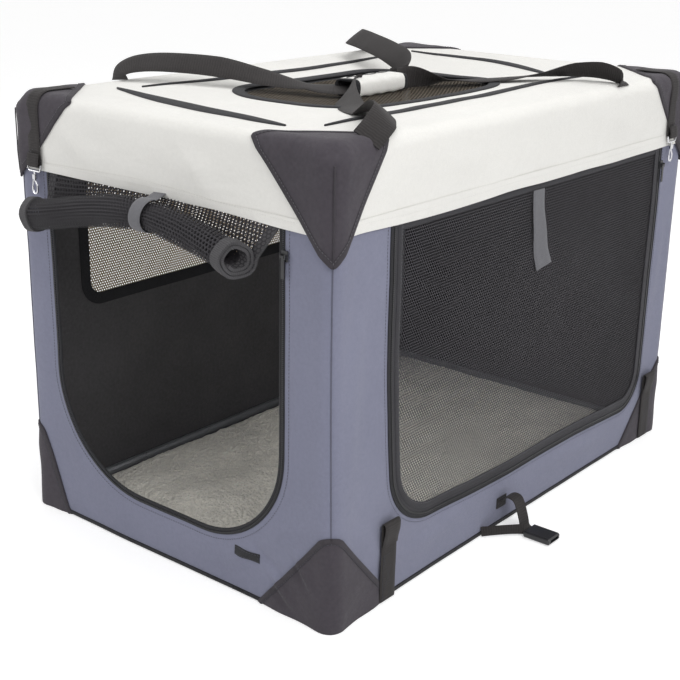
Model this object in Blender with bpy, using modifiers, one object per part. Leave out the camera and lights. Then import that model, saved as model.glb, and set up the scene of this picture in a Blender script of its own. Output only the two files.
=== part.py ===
# Soft dog transport box on a folding steel tube frame: cloth walls with net door
# openings, a one-piece roof cover with a valance, webbing handles and snap hooks.
# Metres, +Z up. The origin is the middle of the floor's underside, -Y is the front
# with the rolled door, and +X is the long side with the net door.
import math

import bmesh
import bpy
from mathutils import Matrix, Vector

# Cabin, measured over its cloth
LENGTH = 0.910
WIDTH = 0.580
HEIGHT = 0.630
VALANCE_DEPTH = 0.113
ROOF_SAG = 0.014
SAG_MARGIN = 0.035
ROOF_EDGE_RADIUS = 0.010

# Cloth, net and webbing thicknesses
CLOTH = 0.002
NET = 0.0014
PATCH = 0.0015
WEBBING = 0.0018

# Clearances
GAP = 0.0003
NET_GAP = 0.0006
PIN_CLEARANCE = 0.0003
EAR_CLEARANCE = 0.0004
DOOR_CLEARANCE = 0.001

# Frame: tube, plastic fittings and the offset that makes each knee lock over centre
TUBE_RADIUS = 0.008
TUBE_SIDES = 12
BEND_RADIUS = 0.020
FITTING_WALL = 0.003
PIVOT_RISE = 0.027
KNEE_OFFSET = 0.004
KNEE_REACH = 0.034
PIVOT_REACH = 0.014
PIN_RADIUS = 0.003
EAR_RADIUS = 0.0068
EAR_THICKNESS = 0.003
TAB_THICKNESS = 0.007
COLLAR = 0.008
COLLAR_LIP = 0.001
FITTING_EDGE = 0.0015

# Front door opening, between the front wall's edges
FRONT_LEFT = 0.225
FRONT_RIGHT = 0.207
FRONT_SILL = 0.085
FRONT_CORNER = 0.085

# Long side's door opening
SIDE_FRONT = 0.335
SIDE_REAR = 0.375
SIDE_SILL = 0.082
SIDE_CORNER = 0.060

# Net windows in the left wall and in the roof
WINDOW_HALF = 0.350
WINDOW_LOW = 0.300
WINDOW_HIGH = 0.500
WINDOW_CORNER = 0.030
ROOF_WINDOW_X = 0.130
ROOF_WINDOW_Y = 0.235
ROOF_WINDOW_CORNER = 0.090
NET_MARGIN = 0.012

# Plush mat
MAT_SIDE = 0.012
MAT_EDGE = 0.020
MAT_CROWN = 0.036
MAT_DRAW = 0.010

# Corner patches, as the legs along the three edges that meet there
TOP_PATCH = (0.130, 0.120, 0.142)
FLOOR_PATCH = (0.120, 0.130, 0.140)
NARROW_PATCH_LEG = 0.070
PATCH_SPARE = 0.050
CUT_REACH = 0.006

# Rolled front door
ROLL_CORE = 0.006
ROLL_PITCH = 0.0042
ROLL_TURNS = 4.5
ROLL_CLOTH = 0.0026
ROLL_STEPS = 12
ROLL_OVERHANG = 0.015
ROLL_SHORT = 0.003
ROLL_DROP = 0.052
SEAM_GAP = 0.0006
TIE_WIDTH = 0.030
TIE_CLOTH = 0.0014

# Carry handle
HANDLE_WIDTH = 0.038
WRAP_LENGTH = 0.120
WRAP_WIDTH = 0.050
WRAP_HEIGHT = 0.034
WRAP_EDGE = 0.008
STRAP_END_GAP = 0.0005
STRAP_LEAD = 0.020
STRAP_SPREAD = 0.006
STRAP_LIFT = 0.004
STRAP_RISE = 0.034

# Snap hooks on their straps
HOOK_STRAP_WIDTH = 0.025
HOOK_STRAP_TOP = 0.020
HOOK_STRAP_LEAD = 0.012
HOOK_STRAP_LAP = 0.004
RING_BAR_RISE = 0.017
RING_WIRE = 0.0014
RING_HEIGHT = 0.009
RING_CLEARANCE = 0.0006
STEM_RADIUS = 0.0014
STEM_LENGTH = 0.007
STEM_SHOWS = 0.003
BARREL_RADIUS = 0.0035
BARREL_LENGTH = 0.007
HOOK_WIRE = 0.0016
HOOK_WIDTH = 0.0130
HOOK_LENGTH = 0.022
HOOK_ROOT = 0.0015
HOOK_NECK = 0.002
HOOK_SHOULDER = 0.009
HOOK_TIP = 0.005
GATE_WIRE = 0.0011
FRONT_HOOK_X = 0.248
SIDE_HOOK_Y = 0.398

# Tabs, side tie, pack strap and zip sliders
TAB_WIDTH = 0.040
TAB_HEIGHT = 0.120
TAB_LOOP = 0.0026
TAB_LAP = 0.012
FRONT_TAB_Y = 0.331
REAR_TAB_Y = 0.405
SIDE_TIE_WIDTH = 0.033
SIDE_TIE_LENGTH = 0.118
SIDE_TIE_DROP = 0.010
PACK_WIDTH = 0.025
PACK_Y = 0.045
PACK_RISE = 0.050
PACK_REACH = 0.036
PACK_SEAM = 0.040
BUCKLE_LENGTH = 0.045
BUCKLE_WIDTH = 0.032
BUCKLE_HEIGHT = 0.010
BUCKLE_WALL = 0.0025
BUCKLE_EDGE = 0.002
BUCKLE_END = 0.008
SLIDER_LENGTH = 0.014
SLIDER_WIDTH = 0.010
SLIDER_HEIGHT = 0.003
SLIDER_DROP = 0.022
SLIDER_EDGE = 0.0008
CHEEK_WIDTH = 0.0016
CHEEK_LENGTH = 0.006
BRIDGE_RISE = 0.0022
PULL_LENGTH = 0.028
PULL_WIDTH = 0.0050
PULL_THICKNESS = 0.0012
BRIDGE_RADIUS = 0.0008
ZIP_INSET = 0.007

# Planes that the pieces share
valance_in = (WIDTH / 2 - CLOTH, LENGTH / 2 - CLOTH)
wall_out = tuple(v - GAP for v in valance_in)
wall_in = tuple(v - CLOTH for v in wall_out)
fit = tuple(v - GAP for v in wall_in)
post_x, post_y = (v - FITTING_WALL - TUBE_RADIUS for v in fit)
valance_low = HEIGHT - VALANCE_DEPTH
wall_top = HEIGHT - ROOF_EDGE_RADIUS - GAP
base_ring_z = CLOTH + GAP + TUBE_RADIUS
top_ring_z = HEIGHT - CLOTH - GAP - TUBE_RADIUS
base_pivot_z = base_ring_z + TUBE_RADIUS + PIVOT_RISE
top_pivot_z = top_ring_z - TUBE_RADIUS - PIVOT_RISE
knee_z = (base_pivot_z + top_pivot_z) / 2
knee_y = post_y + KNEE_OFFSET
patch_out = tuple(v + GAP + PATCH for v in wall_out)
top_patch_out = (WIDTH / 2 + GAP + PATCH, LENGTH / 2 + GAP + PATCH)
roll_radius = ROLL_CORE + ROLL_PITCH * ROLL_TURNS
door_seam_y = -(wall_out[1] + GAP + ROLL_CLOTH / 2)
roll_y = door_seam_y - roll_radius
roll_z = valance_low - SEAM_GAP - ROLL_DROP
ring_bar_z = valance_low + RING_BAR_RISE
hook_strap_depth = GAP + WEBBING / 2
ring_bar_out = RING_WIRE + GAP + WEBBING / 2

parts = None
cutters = None


def clear_scene():
    for obj in list(bpy.data.objects):
        bpy.data.objects.remove(obj)


def add_collection(name):
    collection = bpy.data.collections.new(name)
    bpy.context.scene.collection.children.link(collection)
    return collection


def material(name, colour, roughness, metallic=0.0):
    made = bpy.data.materials.new(name)
    made.use_nodes = True
    shader = made.node_tree.nodes["Principled BSDF"]
    shader.inputs["Base Color"].default_value = (*colour, 1)
    shader.inputs["Roughness"].default_value = roughness
    shader.inputs["Metallic"].default_value = metallic
    return made


FINISHES = {
    "cream": ((0.80, 0.79, 0.74), 0.80),
    "grey": ((0.20, 0.21, 0.28), 0.85),
    "charcoal": ((0.055, 0.05, 0.055), 0.85),
    "net": ((0.02, 0.02, 0.022), 0.70),
    "plush": ((0.62, 0.56, 0.46), 0.95),
    "steel": ((0.45, 0.46, 0.48), 0.35, 1.0),
    "chrome": ((0.80, 0.80, 0.80), 0.15, 1.0),
    "plastic": ((0.02, 0.02, 0.022), 0.45),
}


def add_part(name, mesh, finish):
    obj = bpy.data.objects.new(name, mesh)
    mesh.materials.clear()
    mesh.materials.append(material(name, *FINISHES[finish]))
    parts.objects.link(obj)
    return obj


def add_pivot(name, place):
    empty = bpy.data.objects.new(name, None)
    empty.location = place
    empty.empty_display_size = 0.02
    parts.objects.link(empty)
    return empty


def hang(empty, *objects):
    # the pieces keep their places, and their origins move to the joint's axis
    for obj in objects:
        obj.data.transform(Matrix.Translation(-empty.location))
        obj.parent = empty


def as_cutter(mesh):
    obj = bpy.data.objects.new("cutter", mesh)
    cutters.objects.link(obj)
    obj.hide_render = True
    obj.display_type = "WIRE"
    return obj


def combine(mesh, other, operation):
    # one mesh after a Boolean with another, both in the same space
    body = bpy.data.objects.new("body", mesh)
    cutters.objects.link(body)
    tool = as_cutter(other)
    modifier = body.modifiers.new("Boolean", "BOOLEAN")
    modifier.operation = operation
    modifier.solver = "EXACT"
    modifier.object = tool
    bpy.context.view_layer.update()
    graph = bpy.context.evaluated_depsgraph_get()
    made = bpy.data.meshes.new_from_object(body.evaluated_get(graph))
    bpy.data.objects.remove(body)
    bpy.data.objects.remove(tool)
    return made


def cut(mesh, other):
    return combine(mesh, other, "DIFFERENCE")


def join(mesh, *others):
    for other in others:
        mesh = combine(mesh, other, "UNION")
    return mesh


def mesh_from(bm):
    mesh = bpy.data.meshes.new("mesh")
    bm.to_mesh(mesh)
    bm.free()
    return mesh


def box_mesh(low, high, edge=0.0, segments=1):
    bm = bmesh.new()
    bmesh.ops.create_cube(bm, size=1)
    low, high = Vector(low), Vector(high)
    size = high - low
    for v in bm.verts:
        v.co = low + Vector((c + 0.5) * s for c, s in zip(v.co, size))
    if edge:
        bmesh.ops.bevel(bm, geom=bm.edges[:], offset=edge, segments=segments, affect="EDGES", profile=0.5)
    return mesh_from(bm)


def rod_mesh(start, end, radius, sides=TUBE_SIDES):
    start, end = Vector(start), Vector(end)
    bm = bmesh.new()
    bmesh.ops.create_cone(
        bm, cap_ends=True, segments=sides, radius1=radius, radius2=radius, depth=(end - start).length
    )
    turn = (end - start).to_track_quat("Z", "Y").to_matrix().to_4x4()
    bmesh.ops.transform(bm, verts=bm.verts, matrix=Matrix.Translation((start + end) / 2) @ turn)
    return mesh_from(bm)


def weld(mesh, distance=0.00002):
    bm = bmesh.new()
    bm.from_mesh(mesh)
    bmesh.ops.remove_doubles(bm, verts=bm.verts, dist=distance)
    bmesh.ops.recalc_face_normals(bm, faces=bm.faces)
    bm.to_mesh(mesh)
    bm.free()
    return mesh


def curve_mesh(data, bevel=None):
    obj = bpy.data.objects.new("curve", data)
    cutters.objects.link(obj)
    profile = None
    if bevel:
        profile = bpy.data.objects.new("profile", bevel)
        cutters.objects.link(profile)
        data.bevel_mode = "OBJECT"
        data.bevel_object = profile
    bpy.context.view_layer.update()
    graph = bpy.context.evaluated_depsgraph_get()
    mesh = bpy.data.meshes.new_from_object(obj.evaluated_get(graph))
    bpy.data.objects.remove(obj)
    if profile:
        bpy.data.objects.remove(profile)
    return weld(mesh)


def outline_curve(outlines, thickness=0.0):
    data = bpy.data.curves.new("outline", "CURVE")
    data.dimensions = "2D"
    data.fill_mode = "BOTH" if thickness else "NONE"
    data.extrude = thickness / 2
    for outline in outlines:
        spline = data.splines.new("POLY")
        spline.points.add(len(outline) - 1)
        for point, (u, v) in zip(spline.points, outline):
            point.co = (u, v, 0, 1)
        spline.use_cyclic_u = True
    return data


# Each turns a flat plate so that its outline's two axes lie along the named ones
ACROSS_X = Matrix(((0, 0, 1, 0), (1, 0, 0, 0), (0, 1, 0, 0), (0, 0, 0, 1)))
ACROSS_Y = Matrix(((1, 0, 0, 0), (0, 0, -1, 0), (0, 1, 0, 0), (0, 0, 0, 1)))


def plate_mesh(outlines, thickness, turn, place):
    mesh = curve_mesh(outline_curve(outlines, thickness))
    mesh.transform(Matrix.Translation(place) @ turn)
    return mesh


def arc(centre, radius, start, end, steps):
    for n in range(steps + 1):
        angle = math.radians(start + (end - start) * n / steps)
        yield (centre[0] + radius * math.cos(angle), centre[1] + radius * math.sin(angle))


def rounded(low, high, radius, upper_radius=0.0, steps=4):
    # a rectangle with round lower corners, and round upper ones where asked
    (u0, v0), (u1, v1) = low, high
    points = [*arc((u0 + radius, v0 + radius), radius, 180, 270, steps)]
    points += [*arc((u1 - radius, v0 + radius), radius, 270, 360, steps)]
    if not upper_radius:
        return points + [(u1, v1), (u0, v1)]
    points += [*arc((u1 - upper_radius, v1 - upper_radius), upper_radius, 0, 90, steps)]
    return points + [*arc((u0 + upper_radius, v1 - upper_radius), upper_radius, 90, 180, steps)]


def rectangle(low, high):
    return [low, (high[0], low[1]), high, (low[0], high[1])]


def inset(points, distance):
    # a closed outline moved inward, each corner along its mitre
    made = []
    for n, here in enumerate(points):
        before, after = Vector(points[n - 1]), Vector(points[(n + 1) % len(points)])
        first = (Vector(here) - before).normalized()
        second = (after - Vector(here)).normalized()
        inward = Vector((-first.y - second.y, first.x + second.x)).normalized()
        lean = inward.dot(Vector((-first.y, first.x)))
        made.append(tuple(Vector(here) + inward * distance / lean))
    return made


def band(points, thickness):
    # the closed outline of a strap seen from its edge, along an open line of points
    left, right = [], []
    for n, here in enumerate(points):
        before = Vector(points[max(n - 1, 0)])
        after = Vector(points[min(n + 1, len(points) - 1)])
        first = (Vector(here) - before).normalized() if n else (after - Vector(here)).normalized()
        second = (after - Vector(here)).normalized() if n < len(points) - 1 else first
        normal = Vector((-first.y - second.y, first.x + second.x)).normalized()
        lean = max(normal.dot(Vector((-first.y, first.x))), 0.5)
        left.append(tuple(Vector(here) + normal * thickness / 2 / lean))
        right.append(tuple(Vector(here) - normal * thickness / 2 / lean))
    return left + right[::-1]


def tube_mesh(points, radius, closed=False, resolution=4):
    data = bpy.data.curves.new("tube", "CURVE")
    data.dimensions = "3D"
    data.bevel_depth = radius
    data.bevel_resolution = resolution
    data.use_fill_caps = not closed
    spline = data.splines.new("POLY")
    spline.points.add(len(points) - 1)
    for point, place in zip(spline.points, points):
        point.co = (*place, 1)
    spline.use_cyclic_u = closed
    return curve_mesh(data)


def ribbon_mesh(points, leans, width, thickness):
    # webbing along a smooth line, turned about that line by each point's lean
    data = bpy.data.curves.new("ribbon", "CURVE")
    data.dimensions = "3D"
    data.twist_mode = "Z_UP"
    data.resolution_u = 4
    data.use_fill_caps = True
    spline = data.splines.new("BEZIER")
    spline.bezier_points.add(len(points) - 1)
    for point, place, lean in zip(spline.bezier_points, points, leans):
        point.co = place
        point.tilt = math.radians(lean)
        point.handle_left_type = "AUTO"
        point.handle_right_type = "AUTO"
    section = rectangle((-width / 2, -thickness / 2), (width / 2, thickness / 2))
    return curve_mesh(data, outline_curve([section]))


def corners():
    for side, sx in (("left", -1), ("right", 1)):
        for end, sy in (("front", -1), ("rear", 1)):
            yield f"{end}_{side}", sx, sy


def sag_at(x, y):
    # how far the roof cloth hangs below its edges
    drop = ROOF_SAG
    for value, half in ((x, WIDTH / 2), (y, LENGTH / 2)):
        share = min(abs(value) / (half - SAG_MARGIN), 1)
        drop *= (1 - share * share) ** 2
    return drop


# Frame


def ring_points(z, clearance=0.0):
    points = []
    for sx, sy, start in ((1, 1, 0), (-1, 1, 90), (-1, -1, 180), (1, -1, 270)):
        centre = (sx * (post_x - BEND_RADIUS), sy * (post_y - BEND_RADIUS))
        points += [(u, v, z) for u, v in arc(centre, BEND_RADIUS, start, start + 90, 4)]
    return points


def make_ring(name, z):
    return add_part(name, tube_mesh(ring_points(z), TUBE_RADIUS, closed=True), "steel")


def ears(x, y, low, pin_z):
    # two ears with a round end and a pin hole, standing either side of a tab
    up = 1 if pin_z > low else -1
    outline = [(y - EAR_RADIUS, low), (y + EAR_RADIUS, low)]
    outline += [*arc((y, pin_z), EAR_RADIUS, 0, 180 * up, 8)]
    if up < 0:
        outline = outline[::-1]
    hole = [*arc((y, pin_z), PIN_RADIUS + PIN_CLEARANCE, 0, 330, 11)]
    offset = TAB_THICKNESS / 2 + EAR_CLEARANCE + EAR_THICKNESS / 2
    return [
        plate_mesh([outline, hole], EAR_THICKNESS, ACROSS_X, (x + side * offset, 0, 0))
        for side in (-1, 1)
    ]


def make_bracket(name, sx, sy, ring_z, pivot_z):
    # a saddle over half of the ring's corner, with ears for the post's pin
    x, y = sx * post_x, sy * post_y
    half = TUBE_RADIUS + FITTING_WALL
    up = 1 if pivot_z > ring_z else -1
    outer_z = ring_z + up * half
    low, high = sorted((ring_z, outer_z))
    block = box_mesh((x - half, y - half, low), (x + half, y + half, high), FITTING_EDGE)
    saddle = tube_mesh(ring_points(ring_z), TUBE_RADIUS + GAP, closed=True)
    body = cut(block, saddle)
    root = outer_z - up * FITTING_WALL / 2
    body = join(body, *ears(x, y, root, pivot_z))
    return add_part(name, body, "plastic")


def post_end(x, y, pin_y, pin_z, tube_z):
    # the flat tab at a tube's end, with a moulded pin across it
    up = 1 if tube_z > pin_z else -1
    width = EAR_RADIUS - GAP
    root = tube_z + up * COLLAR / 2
    outline = [(y + width, root), (y - width, root)]
    outline += [*arc((pin_y, pin_z), width, 180, 180 + 180 * up, 8)]
    if up < 0:
        outline = outline[::-1]
    half = TAB_THICKNESS / 2 + EAR_CLEARANCE + EAR_THICKNESS
    return [
        plate_mesh([outline], TAB_THICKNESS, ACROSS_X, (x, 0, 0)),
        rod_mesh((x - half, pin_y, pin_z), (x + half, pin_y, pin_z), PIN_RADIUS),
    ]


def make_lower_post(name, sx, sy):
    x, y = sx * post_x, sy * post_y
    low, high = base_pivot_z + PIVOT_REACH, knee_z - KNEE_REACH
    tube = rod_mesh((x, y, low), (x, y, high), TUBE_RADIUS, TUBE_SIDES)
    body = join(tube, *post_end(x, y, y, base_pivot_z, low))
    ends = ((x, y, high - COLLAR / 2), (x, y, high + COLLAR / 2))
    cap = rod_mesh(*ends, TUBE_RADIUS + COLLAR_LIP)
    fork = ears(x, sy * knee_y, high + COLLAR / 4, knee_z)
    return add_part(name, join(body, cap, *fork), "steel")


def make_upper_post(name, sx, sy):
    x, y = sx * post_x, sy * post_y
    low, high = knee_z + KNEE_REACH, top_pivot_z - PIVOT_REACH
    tube = rod_mesh((x, y, low), (x, y, high), TUBE_RADIUS, TUBE_SIDES)
    body = join(tube, *post_end(x, y, y, top_pivot_z, high))
    return add_part(name, join(body, *post_end(x, y, sy * knee_y, knee_z, low)), "steel")


def make_frame():
    make_ring("base_ring", base_ring_z)
    make_ring("top_ring", top_ring_z)
    for end, sy in (("front", -1), ("rear", 1)):
        base = add_pivot(f"{end}_base_pivot", (0, sy * post_y, base_pivot_z))
        knee = add_pivot(f"{end}_knee_pivot", (0, sy * knee_y, knee_z))
        for side, sx in (("left", -1), ("right", 1)):
            name = f"{end}_{side}"
            make_bracket(f"base_bracket_{name}", sx, sy, base_ring_z, base_pivot_z)
            make_bracket(f"top_bracket_{name}", sx, sy, top_ring_z, top_pivot_z)
            hang(base, make_lower_post(f"lower_post_{name}", sx, sy))
            hang(knee, make_upper_post(f"upper_post_{name}", sx, sy))


# Cloth


def make_walls():
    out_x, out_y = wall_out
    in_x, in_y = wall_in
    middle_x, middle_y = (out_x + in_x) / 2, (out_y + in_y) / 2
    front = rectangle((-out_x, 0), (out_x, wall_top))
    side = rectangle((-fit[1], 0), (fit[1], wall_top))
    doorway = rounded((-FRONT_LEFT, FRONT_SILL), (FRONT_RIGHT, valance_low), FRONT_CORNER)
    window = rounded(
        (-WINDOW_HALF, WINDOW_LOW), (WINDOW_HALF, WINDOW_HIGH), WINDOW_CORNER, WINDOW_CORNER
    )
    walls = {
        "front_wall": ([front, doorway], ACROSS_Y, (0, -middle_y, 0)),
        "rear_wall": ([front], ACROSS_Y, (0, middle_y, 0)),
        "right_wall": ([side, side_doorway()], ACROSS_X, (middle_x, 0, 0)),
        "left_wall": ([side, window], ACROSS_X, (-middle_x, 0, 0)),
    }
    for name, (outlines, turn, place) in walls.items():
        add_part(name, plate_mesh(outlines, CLOTH, turn, place), "grey")
    net = inset(window, GAP)
    add_part("left_window_net", plate_mesh([net], NET, ACROSS_X, (-middle_x, 0, 0)), "net")


def side_doorway():
    return rounded((-SIDE_FRONT, SIDE_SILL), (SIDE_REAR, valance_low), SIDE_CORNER)


def make_side_door():
    middle_x = (wall_out[0] + wall_in[0]) / 2
    panel = plate_mesh([inset(side_doorway(), DOOR_CLEARANCE)], CLOTH, ACROSS_X, (middle_x, 0, 0))
    door = add_part("side_door", panel, "net")
    hinge = add_pivot("side_door_pivot", (wall_out[0], 0, valance_low - DOOR_CLEARANCE))
    hang(hinge, door)
    x = wall_out[0] + GAP
    top = valance_low - SIDE_TIE_DROP
    low = (x, -SIDE_TIE_WIDTH / 2, top - SIDE_TIE_LENGTH)
    high = (x + TIE_CLOTH, SIDE_TIE_WIDTH / 2, top)
    tie = add_part("side_tie", box_mesh(low, high), "grey")
    hang(add_pivot("side_tie_pivot", (x + TIE_CLOTH / 2, 0, top)), tie)


def make_floor():
    low = (-fit[0], -fit[1], 0)
    add_part("floor_panel", box_mesh(low, (fit[0], fit[1], CLOTH)), "grey")


def make_mat():
    # a plush pad, crowned on top, with its sides drawn in between the corners
    half_x = post_x - TUBE_RADIUS - FITTING_WALL - MAT_SIDE
    half_y = post_y - TUBE_RADIUS - FITTING_WALL - MAT_SIDE
    bm = bmesh.new()
    bmesh.ops.create_grid(bm, x_segments=10, y_segments=14, size=1)
    for v in bm.verts:
        u, w = v.co.x, v.co.y
        dome = (1 - u**4) * (1 - w**4)
        v.co.x = u * (half_x - MAT_DRAW * (1 - w * w) * abs(u) ** 3)
        v.co.y = w * (half_y - MAT_DRAW * (1 - u * u) * abs(w) ** 3)
        v.co.z = CLOTH + GAP + MAT_EDGE + (MAT_CROWN - MAT_EDGE) * math.sqrt(max(dome, 0))
    rim = [e for e in bm.edges if e.is_boundary]
    low = bmesh.ops.extrude_edge_only(bm, edges=rim)["geom"]
    for v in {v for e in low if isinstance(e, bmesh.types.BMEdge) for v in e.verts}:
        v.co.z = CLOTH + GAP
    bmesh.ops.holes_fill(bm, edges=[e for e in bm.edges if e.is_boundary], sides=0)
    bmesh.ops.recalc_face_normals(bm, faces=bm.faces)
    add_part("plush_mat", mesh_from(bm), "plush")


def sheet_solid(bm, thickness):
    # gives an open sheet its thickness, downwards and inwards
    sheet = bpy.data.objects.new("sheet", mesh_from(bm))
    cutters.objects.link(sheet)
    modifier = sheet.modifiers.new("Solidify", "SOLIDIFY")
    modifier.thickness = thickness
    modifier.offset = -1
    modifier.use_even_offset = True
    bpy.context.view_layer.update()
    graph = bpy.context.evaluated_depsgraph_get()
    made = bpy.data.meshes.new_from_object(sheet.evaluated_get(graph))
    bpy.data.objects.remove(sheet)
    return made


def make_roof():
    flat_x, flat_y = WIDTH / 2 - ROOF_EDGE_RADIUS, LENGTH / 2 - ROOF_EDGE_RADIUS
    bm = bmesh.new()
    bmesh.ops.create_grid(bm, x_segments=12, y_segments=18, size=1)
    for v in bm.verts:
        v.co.x *= flat_x
        v.co.y *= flat_y
        v.co.z = HEIGHT - sag_at(v.co.x, v.co.y)
    rim = [e for e in bm.edges if e.is_boundary]
    for angle in (30, 60, 90):
        out = ROOF_EDGE_RADIUS * math.sin(math.radians(angle))
        level = HEIGHT - ROOF_EDGE_RADIUS * (1 - math.cos(math.radians(angle)))
        rim = extend(bm, rim, flat_x + out, flat_y + out, level)
    extend(bm, rim, WIDTH / 2, LENGTH / 2, valance_low)
    bmesh.ops.recalc_face_normals(bm, faces=bm.faces)
    shell = sheet_solid(bm, CLOTH)
    hole = rounded(
        (-ROOF_WINDOW_X, -ROOF_WINDOW_Y),
        (ROOF_WINDOW_X, ROOF_WINDOW_Y),
        ROOF_WINDOW_CORNER,
        ROOF_WINDOW_CORNER,
        6,
    )
    cutter = plate_mesh([hole], VALANCE_DEPTH, Matrix(), (0, 0, HEIGHT))
    add_part("roof_cover", cut(shell, cutter), "cream")


def extend(bm, rim, half_x, half_y, level):
    # carries the rim of the roof sheet out to a larger rectangle at a lower level
    limit_x = max(v.co.x for e in rim for v in e.verts) - 0.0001
    limit_y = max(v.co.y for e in rim for v in e.verts) - 0.0001
    made = bmesh.ops.extrude_edge_only(bm, edges=rim)["geom"]
    edges = [e for e in made if isinstance(e, bmesh.types.BMEdge)]
    for v in {v for e in edges for v in e.verts}:
        if abs(v.co.x) > limit_x:
            v.co.x = math.copysign(half_x, v.co.x)
        if abs(v.co.y) > limit_y:
            v.co.y = math.copysign(half_y, v.co.y)
        v.co.z = level
    return edges


def make_roof_net():
    half_x, half_y = ROOF_WINDOW_X + NET_MARGIN, ROOF_WINDOW_Y + NET_MARGIN
    bm = bmesh.new()
    bmesh.ops.create_grid(bm, x_segments=8, y_segments=14, size=1)
    for v in bm.verts:
        v.co.x *= half_x
        v.co.y *= half_y
        v.co.z = HEIGHT - CLOTH - NET_GAP - sag_at(v.co.x, v.co.y)
    add_part("roof_net", sheet_solid(bm, NET), "net")


def hull_mesh(points):
    bm = bmesh.new()
    verts = [bm.verts.new(p) for p in points]
    bmesh.ops.convex_hull(bm, input=verts)
    bmesh.ops.recalc_face_normals(bm, faces=bm.faces)
    return mesh_from(bm)


def patch_mesh(sx, sy, legs, out, inner, apex_z, flat_z, radius):
    # the part of a thin corner shell that a plane through the three legs cuts off
    span = max(legs) + PATCH_SPARE
    shell = corner_block(sx, sy, out, flat_z, span, apex_z, radius + PATCH)
    core = corner_block(sx, sy, inner[:2], inner[2], 2 * span, apex_z, radius)
    shell = cut(shell, core)
    up = 1 if flat_z > apex_z else -1
    corner = Vector((sx * inner[0], sy * inner[1], inner[2]))
    a, b, c = legs
    tip = corner + CUT_REACH * Vector((sx, sy, up))
    far = 1 + CUT_REACH / a + CUT_REACH / b + CUT_REACH / c
    points = [
        tip,
        tip - Vector((sx * a * far, 0, 0)),
        tip - Vector((0, sy * b * far, 0)),
        tip - Vector((0, 0, up * c * far)),
    ]
    return combine(shell, hull_mesh(points), "INTERSECT")


def corner_block(sx, sy, out, flat_z, span, apex_z, radius):
    up = 1 if flat_z > apex_z else -1
    low = [sx * (out[0] - span), sy * (out[1] - span), flat_z - up * span]
    high = [sx * out[0], sy * out[1], flat_z]
    low, high = zip(*(sorted(pair) for pair in zip(low, high)))
    bm = bmesh.new()
    bm.from_mesh(box_mesh(low, high))
    flat = [e for e in bm.edges if all(abs(v.co.z - flat_z) < 0.0001 for v in e.verts)]
    bmesh.ops.bevel(bm, geom=flat, offset=radius, segments=3, affect="EDGES", profile=0.5)
    return mesh_from(bm)


def make_patches():
    for name, sx, sy in corners():
        top = patch_mesh(
            sx,
            sy,
            TOP_PATCH,
            top_patch_out,
            (WIDTH / 2 + GAP, LENGTH / 2 + GAP, HEIGHT + GAP),
            HEIGHT - TOP_PATCH[2],
            HEIGHT + GAP + PATCH,
            ROOF_EDGE_RADIUS + GAP,
        )
        add_part(f"top_patch_{name}", top, "charcoal")
        front_leg = NARROW_PATCH_LEG if name == "front_left" else FLOOR_PATCH[0]
        add_part(f"floor_patch_{name}", floor_patch_mesh(sx, sy, front_leg), "charcoal")


def floor_patch_mesh(sx, sy, front_leg):
    # two triangles that meet at the upright corner, standing on the floor
    _, side_leg, rise = FLOOR_PATCH
    out, inner = patch_out, tuple(v + GAP for v in wall_out)
    span = max(FLOOR_PATCH) + PATCH_SPARE
    outer = [(sx * (out[0] - span), sy * (out[1] - span), 0), (sx * out[0], sy * out[1], span)]
    core = [
        (sx * (inner[0] - 2 * span), sy * (inner[1] - 2 * span), -span),
        (sx * inner[0], sy * inner[1], 2 * span),
    ]
    blocks = []
    for low, high in (outer, core):
        low, high = zip(*(sorted(pair) for pair in zip(low, high)))
        blocks.append(box_mesh(low, high))
    shell = cut(*blocks)
    x, y = sx * (out[0] + CUT_REACH), sy * (out[1] + CUT_REACH)
    far = 1 + CUT_REACH / front_leg + CUT_REACH / side_leg
    points = [
        (x, y, -CUT_REACH),
        (x - sx * front_leg * far, y, -CUT_REACH),
        (x, y - sy * side_leg * far, -CUT_REACH),
        (x, y, rise * far),
    ]
    return combine(shell, hull_mesh(points), "INTERSECT")


# Front door, rolled up under the valance


def roll_outline():
    steps = round(ROLL_STEPS * ROLL_TURNS)
    line = []
    for n in range(steps + 1):
        turn = n / ROLL_STEPS
        angle = 2 * math.pi * (turn - ROLL_TURNS)
        radius = ROLL_CORE + ROLL_PITCH * turn
        line.append((roll_y + radius * math.cos(angle), roll_z + radius * math.sin(angle)))
    line.append((door_seam_y, valance_low - SEAM_GAP))
    print(f"least gap between the roll's turns: {1000 * (ROLL_PITCH - ROLL_CLOTH):.2f} mm")
    return band(line, ROLL_CLOTH)


def make_front_door():
    left, right = -FRONT_LEFT - ROLL_OVERHANG, FRONT_RIGHT - ROLL_SHORT
    middle = (left + right) / 2
    roll = plate_mesh([roll_outline()], right - left, ACROSS_X, (middle, 0, 0))
    door = add_part("rolled_door", roll, "net")
    radius = roll_radius + ROLL_CLOTH / 2 + GAP + TIE_CLOTH / 2
    loop = band([*arc((roll_y, roll_z), radius, 62, 330, 18)], TIE_CLOTH)
    tie = plate_mesh([loop], TIE_WIDTH, ACROSS_X, (0, 0, 0))
    hinge = add_pivot("front_door_pivot", (0, door_seam_y, valance_low - SEAM_GAP))
    hang(hinge, door, add_part("roll_tie", tie, "grey"))


# Carry handle


def on_roof(x_share, y_share, above):
    x, y = x_share * WIDTH / 2, y_share * LENGTH / 2
    return (x, y, HEIGHT - sag_at(x, y) + above)


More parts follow.
